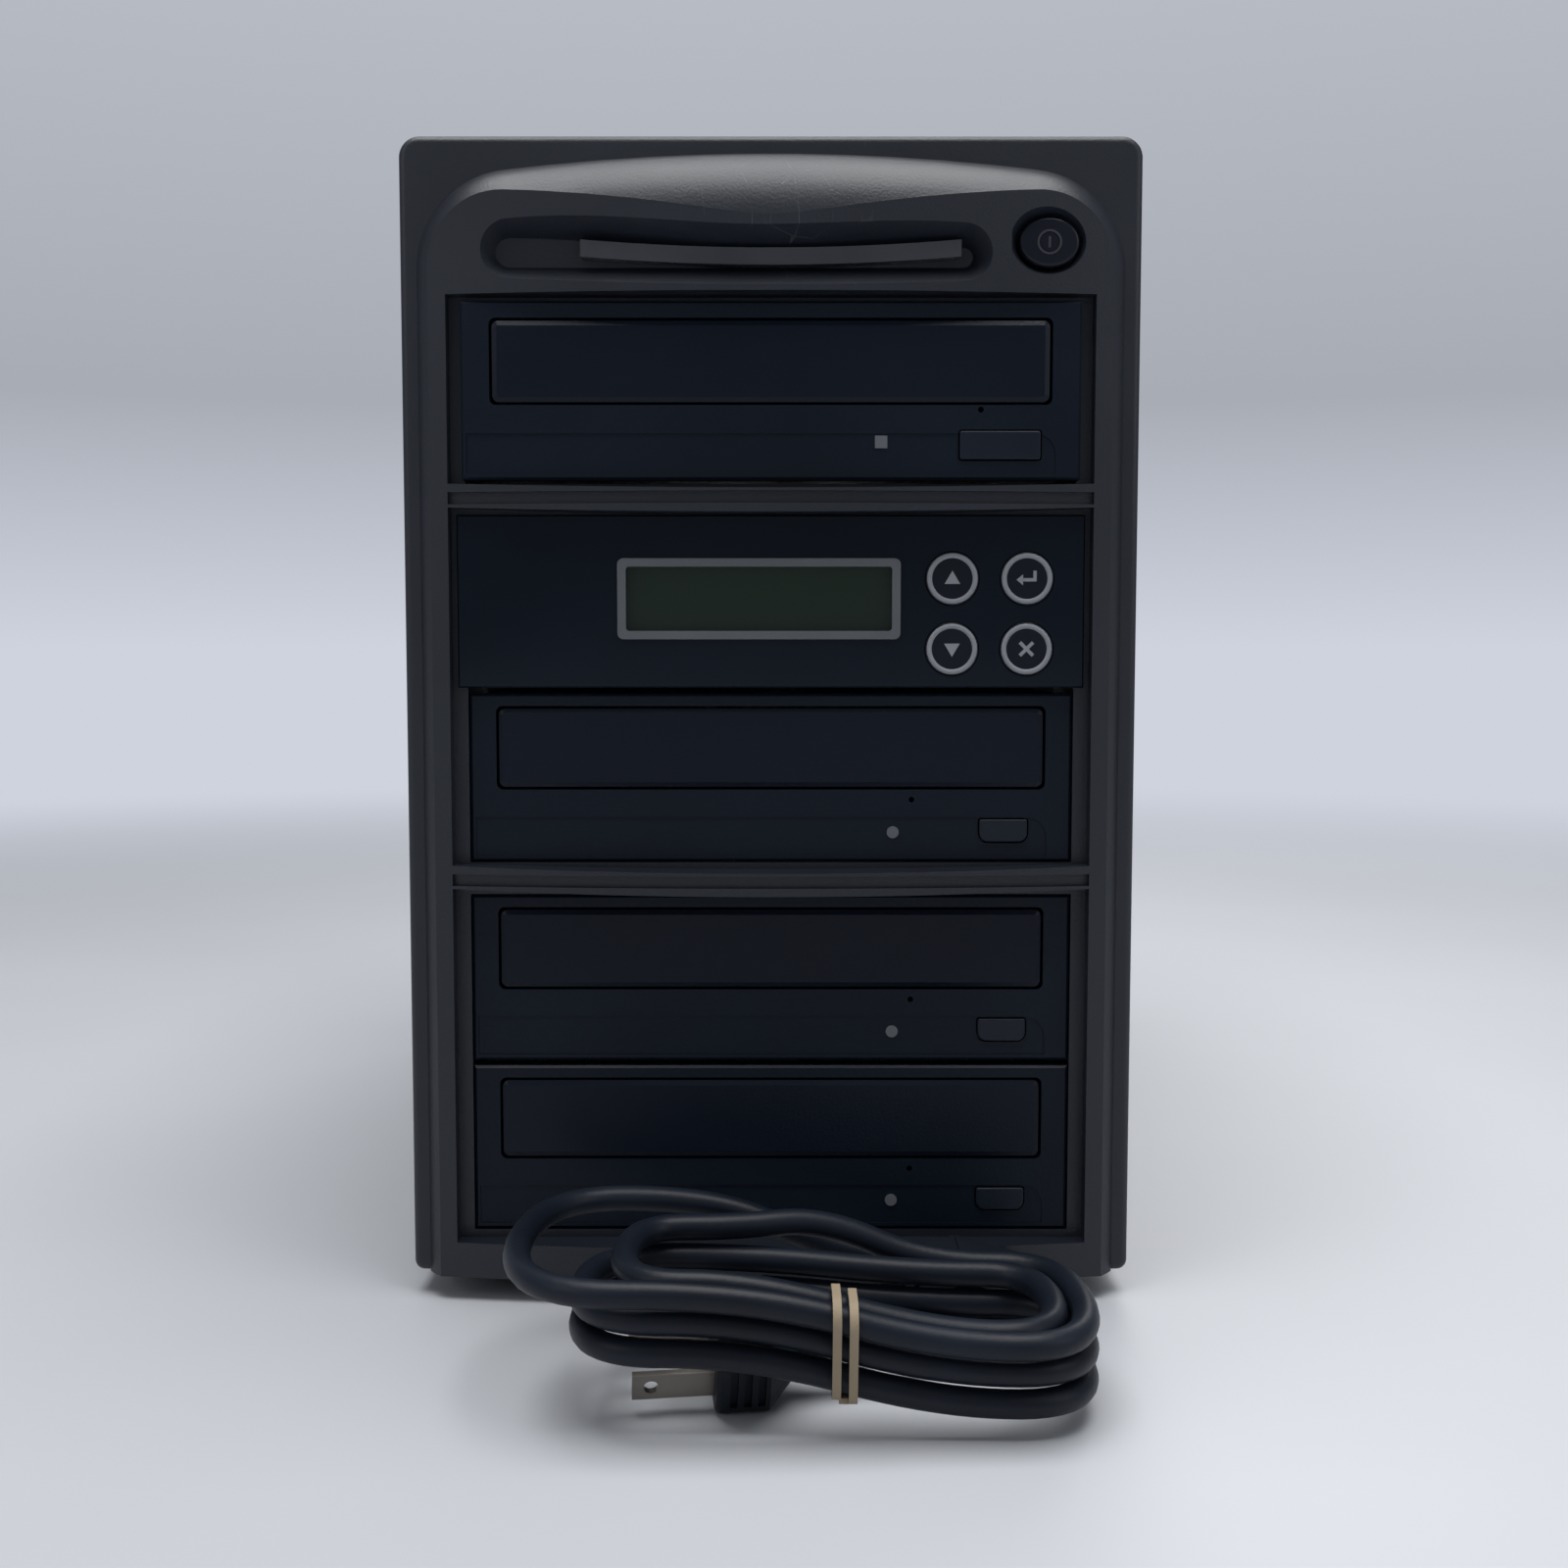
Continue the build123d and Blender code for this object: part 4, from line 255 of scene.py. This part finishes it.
# ------------------------------------------------------------------ power button
# A glossy oval cap in a round-ended well. A thin moulded ring with an upright bar in it marks it
# as the switch, and the latching switch sits behind it.
def flat_piece(name, outlines, y, thickness, material, body):
    """Thin marks: closed outlines in X and Z, in mm, that stand off a front face."""
    shape = bmesh.new()
    for outline in outlines:
        front = [shape.verts.new((x / 1000, (y - thickness) / 1000, z / 1000)) for x, z in outline]
        back = [shape.verts.new((x / 1000, y / 1000, z / 1000)) for x, z in outline]
        shape.faces.new(front)
        shape.faces.new(list(reversed(back)))
        for first in range(len(outline)):
            second = (first + 1) % len(outline)
            shape.faces.new((front[second], front[first], back[first], back[second]))
    bmesh.ops.recalc_face_normals(shape, faces=shape.faces)
    mesh = bpy.data.meshes.new(name)
    shape.to_mesh(mesh)
    shape.free()
    mesh.materials.append(material)
    piece = bpy.data.objects.new(name, mesh)
    bpy.context.scene.collection.objects.link(piece)
    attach(piece, body)
    return piece


def ring_sector(x, z, inner, outer, start, end, steps=40):
    """A flat ring, or part of one, as one closed outline."""
    turns = [radians(start + (end - start) * step / steps) for step in range(steps + 1)]
    out = [(x + outer * cos(turn), z + outer * sin(turn)) for turn in turns]
    back = [(x + inner * cos(turn), z + inner * sin(turn)) for turn in reversed(turns)]
    return out + back


button_black = dark_plastic("button_black", (0.008, 0.010, 0.016), 0.22, 700, 0.04, 0.1)
mark_grey = dark_plastic("mark_grey", (0.045, 0.047, 0.055), 0.4, 1200, 0.1, 0.1)
clad("power_button", button_black)
clad("power_switch", dark_plastic("switch_body", (0.05, 0.05, 0.055), 0.5, 1200, 0.2))
button_x, button_z = 66.7, 259.6
mark_inner, mark_outer = 2.45, 2.95
bar_half, bar_reach = 0.28, 1.3
button_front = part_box("power_button")[0][1] * 1000
flat_piece(
    "power_mark",
    [
        ring_sector(button_x, button_z, mark_inner, mark_outer, -89, 269),
        [
            (button_x - bar_half, button_z - bar_reach),
            (button_x + bar_half, button_z - bar_reach),
            (button_x + bar_half, button_z + bar_reach),
            (button_x - bar_half, button_z + bar_reach),
        ],
    ],
    button_front + 0.02, 0.12, mark_grey, "power_button_body",
)

# ------------------------------------------------------------------ optical drives
# Three like writers and one reader. Their fascias, tray doors and eject buttons are moulded in
# black ABS, the trays in dark filled plastic, and their casings are zinc-plated steel.
fascia_black = dark_plastic("fascia_black", (0.0045, 0.0085, 0.016), 0.40, 1300, 0.3, 0.12, 0.16)
door_black = dark_plastic("door_black", (0.0045, 0.0075, 0.015), 0.34, 1300, 0.22, 0.1, 0.16)
eject_black = dark_plastic("eject_black", (0.008, 0.012, 0.020), 0.32, 900, 0.15, 0.1)
tray_black = dark_plastic("tray_black", (0.018, 0.018, 0.020), 0.5, 1100, 0.35, 0.15)
zinc = worn_metal("zinc_sheet", (0.56, 0.57, 0.58), 0.38, (1, 1, 8))
deck_grey = dark_plastic("deck_grey", (0.05, 0.05, 0.055), 0.55, 800, 0.2, 0.3)
for number in (1, 2, 3, 4):
    clad(f"drive_{number}_fascia", fascia_black)
    clad(f"drive_{number}_tray_door", door_black)
    clad(f"drive_{number}_eject_button", eject_black)
    clad(f"drive_{number}_tray", tray_black)
    clad(f"drive_{number}_chassis", zinc)
    clad(f"drive_{number}_spindle", deck_grey)
clad("drive_decks", deck_grey)
clad("drive_top_covers", zinc)

lamp = dark_plastic("lamp_lens", (0.16, 0.17, 0.19), 0.25, 500, 0.05, 0.2)
lamp.node_tree.nodes["Principled BSDF"].inputs["Transmission Weight"].default_value = 0.3
clad("drive_status_lights", lamp)

# ------------------------------------------------------------------ control panel
# A glossy black acrylic front over a folded steel bracket. A satin silver frame holds the
# two-line display, and four round keys carry printed rings and signs.
gloss_black = dark_plastic("gloss_black", (0.003, 0.006, 0.012), 0.13, 400, 0.015, 0.1)
key_black = dark_plastic("key_black", (0.004, 0.007, 0.012), 0.3, 900, 0.08, 0.1)
clad("panel_fascia", gloss_black)
clad("lcd_frame", worn_metal("frame_silver", (0.135, 0.145, 0.155), 0.45, (8, 1, 1), 0.6))
clad("controller_bracket", zinc)

display, tree, skin, place = fresh("display_glass")
skin.inputs["Specular IOR Level"].default_value = 0.3
window_bottom, window_top = 0.166, 0.183
split = tree.nodes.new("ShaderNodeSeparateXYZ")
tree.links.new(place, split.inputs["Vector"])
# Painted shade: the glass is darker at the bottom of its window and lighter towards the top, as
# though lit from above.
rise = spread(tree, split.outputs["Z"], 0.0, 1.0, window_bottom, window_top)
green = tones(tree, rise, (0.008, 0.017, 0.012), (0.012, 0.024, 0.014))
tree.links.new(green, skin.inputs["Base Color"])
film = noise(tree, place, 40)
tree.links.new(spread(tree, film, 0.16, 0.28), skin.inputs["Roughness"])
clad("lcd_module", display)

board_green = dark_plastic("board_green", (0.01, 0.09, 0.035), 0.35, 600, 0.1, 0.4)
clad("controller_board", board_green)


def key_ring_tree():
    """Geometry Nodes: a printed ring of a given radius and width, swept round a circle."""
    tree = bpy.data.node_groups.new("printed_ring", "GeometryNodeTree")
    face = tree.interface
    face.new_socket("Geometry", in_out="OUTPUT", socket_type="NodeSocketGeometry")
    radius = face.new_socket("Ring radius", in_out="INPUT", socket_type="NodeSocketFloat")
    width = face.new_socket("Ring width", in_out="INPUT", socket_type="NodeSocketFloat")
    height = face.new_socket("Ring height", in_out="INPUT", socket_type="NodeSocketFloat")
    ink = face.new_socket("Ink", in_out="INPUT", socket_type="NodeSocketMaterial")
    given = tree.nodes.new("NodeGroupInput")
    circle = tree.nodes.new("GeometryNodeCurvePrimitiveCircle")
    circle.inputs["Resolution"].default_value = 64
    section = tree.nodes.new("GeometryNodeCurvePrimitiveQuadrilateral")
    sweep = tree.nodes.new("GeometryNodeCurveToMesh")
    real = tree.nodes.new("GeometryNodeRealizeInstances")
    paint = tree.nodes.new("GeometryNodeSetMaterial")
    out = tree.nodes.new("NodeGroupOutput")
    tree.links.new(given.outputs["Ring radius"], circle.inputs["Radius"])
    tree.links.new(given.outputs["Ring width"], section.inputs["Width"])
    tree.links.new(given.outputs["Ring height"], section.inputs["Height"])
    tree.links.new(circle.outputs["Curve"], sweep.inputs["Curve"])
    tree.links.new(section.outputs["Curve"], sweep.inputs["Profile Curve"])
    tree.links.new(sweep.outputs["Mesh"], real.inputs["Geometry"])
    tree.links.new(real.outputs["Geometry"], paint.inputs["Geometry"])
    tree.links.new(given.outputs["Ink"], paint.inputs["Material"])
    tree.links.new(paint.outputs["Geometry"], out.inputs["Geometry"])
    return tree, {"radius": radius.identifier, "width": width.identifier,
                  "height": height.identifier, "ink": ink.identifier}


def grown(name, tree, values, body, move):
    """Runs a node tree once, keeps its plain mesh, puts it in place and rides it on a body."""
    start = bpy.data.objects.new(name + "_seed", bpy.data.meshes.new(name + "_seed"))
    bpy.context.scene.collection.objects.link(start)
    live = start.modifiers.new("grow", "NODES")
    live.node_group = tree
    for key, value in values.items():
        live[key] = value
    bpy.context.view_layer.update()
    done = start.evaluated_get(bpy.context.evaluated_depsgraph_get())
    mesh = bpy.data.meshes.new_from_object(done)
    bpy.data.objects.remove(start)
    move(mesh)
    mesh.name = name
    piece = bpy.data.objects.new(name, mesh)
    bpy.context.scene.collection.objects.link(piece)
    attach(piece, body)
    return piece


ring_ink = dark_plastic("ring_ink", (0.24, 0.25, 0.27), 0.5, 2000, 0.05, 0.06)
ring_tree, ring_inputs = key_ring_tree()
ring_radius, ring_width, ring_height = 0.00555, 0.0012, 0.00008
key_places = {
    "up": (44.2, 179.6),
    "enter": (62.4, 179.6),
    "down": (44.2, 162.5),
    "escape": (62.4, 162.5),
}
key_signs = {
    "up": [[(-1.9, -1.3), (1.9, -1.3), (0, 1.9)]],
    "down": [[(-1.9, 1.3), (0, -1.9), (1.9, 1.3)]],
    "enter": [
        [(-2.6, -0.3), (-1.0, -1.6), (-1.0, 1.0)],
        [(-1.1, -0.7), (2.3, -0.7), (2.3, 1.9), (1.5, 1.9), (1.5, 0.1), (-1.1, 0.1)],
    ],
    "escape": [
        [(-1.9, -1.3), (-1.3, -1.9), (0, -0.6), (1.3, -1.9), (1.9, -1.3), (0.6, 0),
         (1.9, 1.3), (1.3, 1.9), (0, 0.6), (-1.3, 1.9), (-1.9, 1.3), (-0.6, 0)],
    ],
}
for key, (x, z) in key_places.items():
    clad(f"key_{key}", key_black)
    key_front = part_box(f"key_{key}")[0][1]

    def onto_key(mesh, x=x, z=z, y=key_front):
        for corner in mesh.vertices:
            flat_x, flat_y, depth = corner.co
            corner.co = (x / 1000 + flat_x, y + depth, z / 1000 + flat_y)
        mesh.flip_normals()

    grown(
        f"key_{key}_ring", ring_tree,
        {
            ring_inputs["radius"]: ring_radius,
            ring_inputs["width"]: ring_width,
            ring_inputs["height"]: ring_height,
            ring_inputs["ink"]: ring_ink,
        },
        f"key_{key}_body", onto_key,
    )
    sign = [[(x + dx, z + dz) for dx, dz in outline] for outline in key_signs[key]]
    flat_piece(
        f"key_{key}_sign", sign, key_front * 1000 + 0.02, 0.08,
        ring_ink, f"key_{key}_body",
    )

# ------------------------------------------------------------------ steel case
# A folded U-shaped cover in fine black powder coat over a zinc-plated pan, cage and rear panel,
# held by six slotted thumbscrews and standing on four rubber feet.
powder = dark_plastic("powder_coat", (0.016, 0.016, 0.018), 0.55, 1100, 0.55, 0.1)
screw_zinc = worn_metal("screw_zinc", (0.50, 0.50, 0.52), 0.32, (1, 1, 1))
clad("cover_shell", powder)
clad("base_pan", zinc)
clad("drive_cage", zinc)
clad("rear_panel", zinc)
clad("cover_thumbscrews", screw_zinc)
clad("case_screws", screw_zinc)
clad("rubber_feet", dark_plastic("foot_rubber", (0.013, 0.013, 0.013), 0.75, 500, 0.4, 0.2))

# ------------------------------------------------------------------ power supply and fans
# A bare zinc-plated box with a black fan, a chromed wire guard, and one black moulding that holds
# the mains inlet and its rocker. A second fan and guard sit lower in the rear panel.
fan_black = dark_plastic("fan_black", (0.012, 0.012, 0.013), 0.38, 700, 0.1, 0.1)
clad("psu_case", zinc)
clad("fan_frames", fan_black)
clad("psu_fan_rotor", fan_black)
clad("exhaust_fan_rotor", fan_black)
clad("fan_guards", worn_metal("guard_chrome", (0.68, 0.69, 0.70), 0.2, (1, 1, 1)))
clad("power_inlet", dark_plastic("inlet_black", (0.014, 0.014, 0.015), 0.42, 1200, 0.2, 0.1))
clad("psu_rocker", button_black)
clad("internal_cables", dark_plastic("cable_red", (0.30, 0.03, 0.025), 0.45, 900, 0.15, 0.2))

# ------------------------------------------------------------------ floor, light and backdrop
# A pale matt table under broad soft lamps, with a cool grey background as in the photograph.
floor_mesh = bpy.data.meshes.new("studio_floor")
floor_shape = bmesh.new()
bmesh.ops.create_circle(floor_shape, cap_ends=True, segments=96, radius=6.0)
floor_shape.to_mesh(floor_mesh)
floor_shape.free()
studio_floor = bpy.data.objects.new("studio_floor", floor_mesh)
bpy.context.scene.collection.objects.link(studio_floor)
pale, tree, skin, place = fresh("pale_table")
skin.inputs["Roughness"].default_value = 0.45
mottle = tones(tree, noise(tree, place, 6), (0.50, 0.515, 0.545), (0.54, 0.555, 0.59))
tree.links.new(mottle, skin.inputs["Base Color"])
reach = tree.nodes.new("ShaderNodeVectorMath")
reach.operation = "LENGTH"
tree.links.new(place, reach.inputs[0])
fade = spread(tree, reach.outputs["Value"], 0.0, 1.0, 0.55, 1.6, smooth=True)
glow = tree.nodes.new("ShaderNodeEmission")
glow.inputs["Color"].default_value = (0.62, 0.65, 0.73, 1)
blend = tree.nodes.new("ShaderNodeMixShader")
tree.links.new(fade, blend.inputs["Fac"])
tree.links.new(skin.outputs["BSDF"], blend.inputs[1])
tree.links.new(glow.outputs["Emission"], blend.inputs[2])
tree.links.new(blend.outputs["Shader"], tree.nodes["Material Output"].inputs["Surface"])
floor_mesh.materials.append(pale)

world = bpy.data.worlds.new("soft_room")
bpy.context.scene.world = world
world.use_nodes = True
tree = world.node_tree
room = tree.nodes["Background"]
room.inputs["Color"].default_value = (0.72, 0.76, 0.83, 1)
room.inputs["Strength"].default_value = 0.27
place = tree.nodes.new("ShaderNodeTexCoord")
split = tree.nodes.new("ShaderNodeSeparateXYZ")
tree.links.new(place.outputs["Generated"], split.inputs["Vector"])
rise = tree.nodes.new("ShaderNodeValToRGB")
rise.color_ramp.elements[0].position = 0.0
rise.color_ramp.elements[0].color = (0.62, 0.65, 0.73, 1)
rise.color_ramp.elements[1].position = 0.40
rise.color_ramp.elements[1].color = (0.50, 0.53, 0.59, 1)
middle = rise.color_ramp.elements.new(0.13)
middle.color = (0.39, 0.41, 0.46, 1)
tree.links.new(split.outputs["Z"], rise.inputs["Fac"])
seen = tree.nodes.new("ShaderNodeBackground")
tree.links.new(rise.outputs["Color"], seen.inputs["Color"])
rays = tree.nodes.new("ShaderNodeLightPath")
pick = tree.nodes.new("ShaderNodeMixShader")
tree.links.new(rays.outputs["Is Camera Ray"], pick.inputs["Fac"])
tree.links.new(room.outputs["Background"], pick.inputs[1])
tree.links.new(seen.outputs["Background"], pick.inputs[2])
tree.links.new(pick.outputs["Shader"], tree.nodes["World Output"].inputs["Surface"])


def softbox(name, place, target, width, height, power):
    """A broad square lamp that faces a point."""
    light = bpy.data.lights.new(name, "AREA")
    light.shape = "RECTANGLE"
    light.size = width
    light.size_y = height
    light.energy = power
    lamp_object = bpy.data.objects.new(name, light)
    lamp_object.location = place
    aim = Vector(target) - Vector(place)
    lamp_object.rotation_euler = aim.to_track_quat("-Z", "Y").to_euler()
    bpy.context.scene.collection.objects.link(lamp_object)


softbox("overhead_box", (0.0, -0.25, 1.5), (0, -0.1, 0.1), 1.3, 1.1, 27)
softbox("left_box", (-1.3, -1.1, 0.9), (0, 0, 0.15), 0.9, 0.9, 3)
softbox("right_box", (1.3, -0.9, 0.8), (0, 0, 0.15), 0.9, 0.9, 3)
softbox("rear_box", (0.5, 1.4, 1.0), (0, 0.1, 0.15), 1.0, 0.8, 7)

bpy.context.scene.view_settings.view_transform = "Standard"
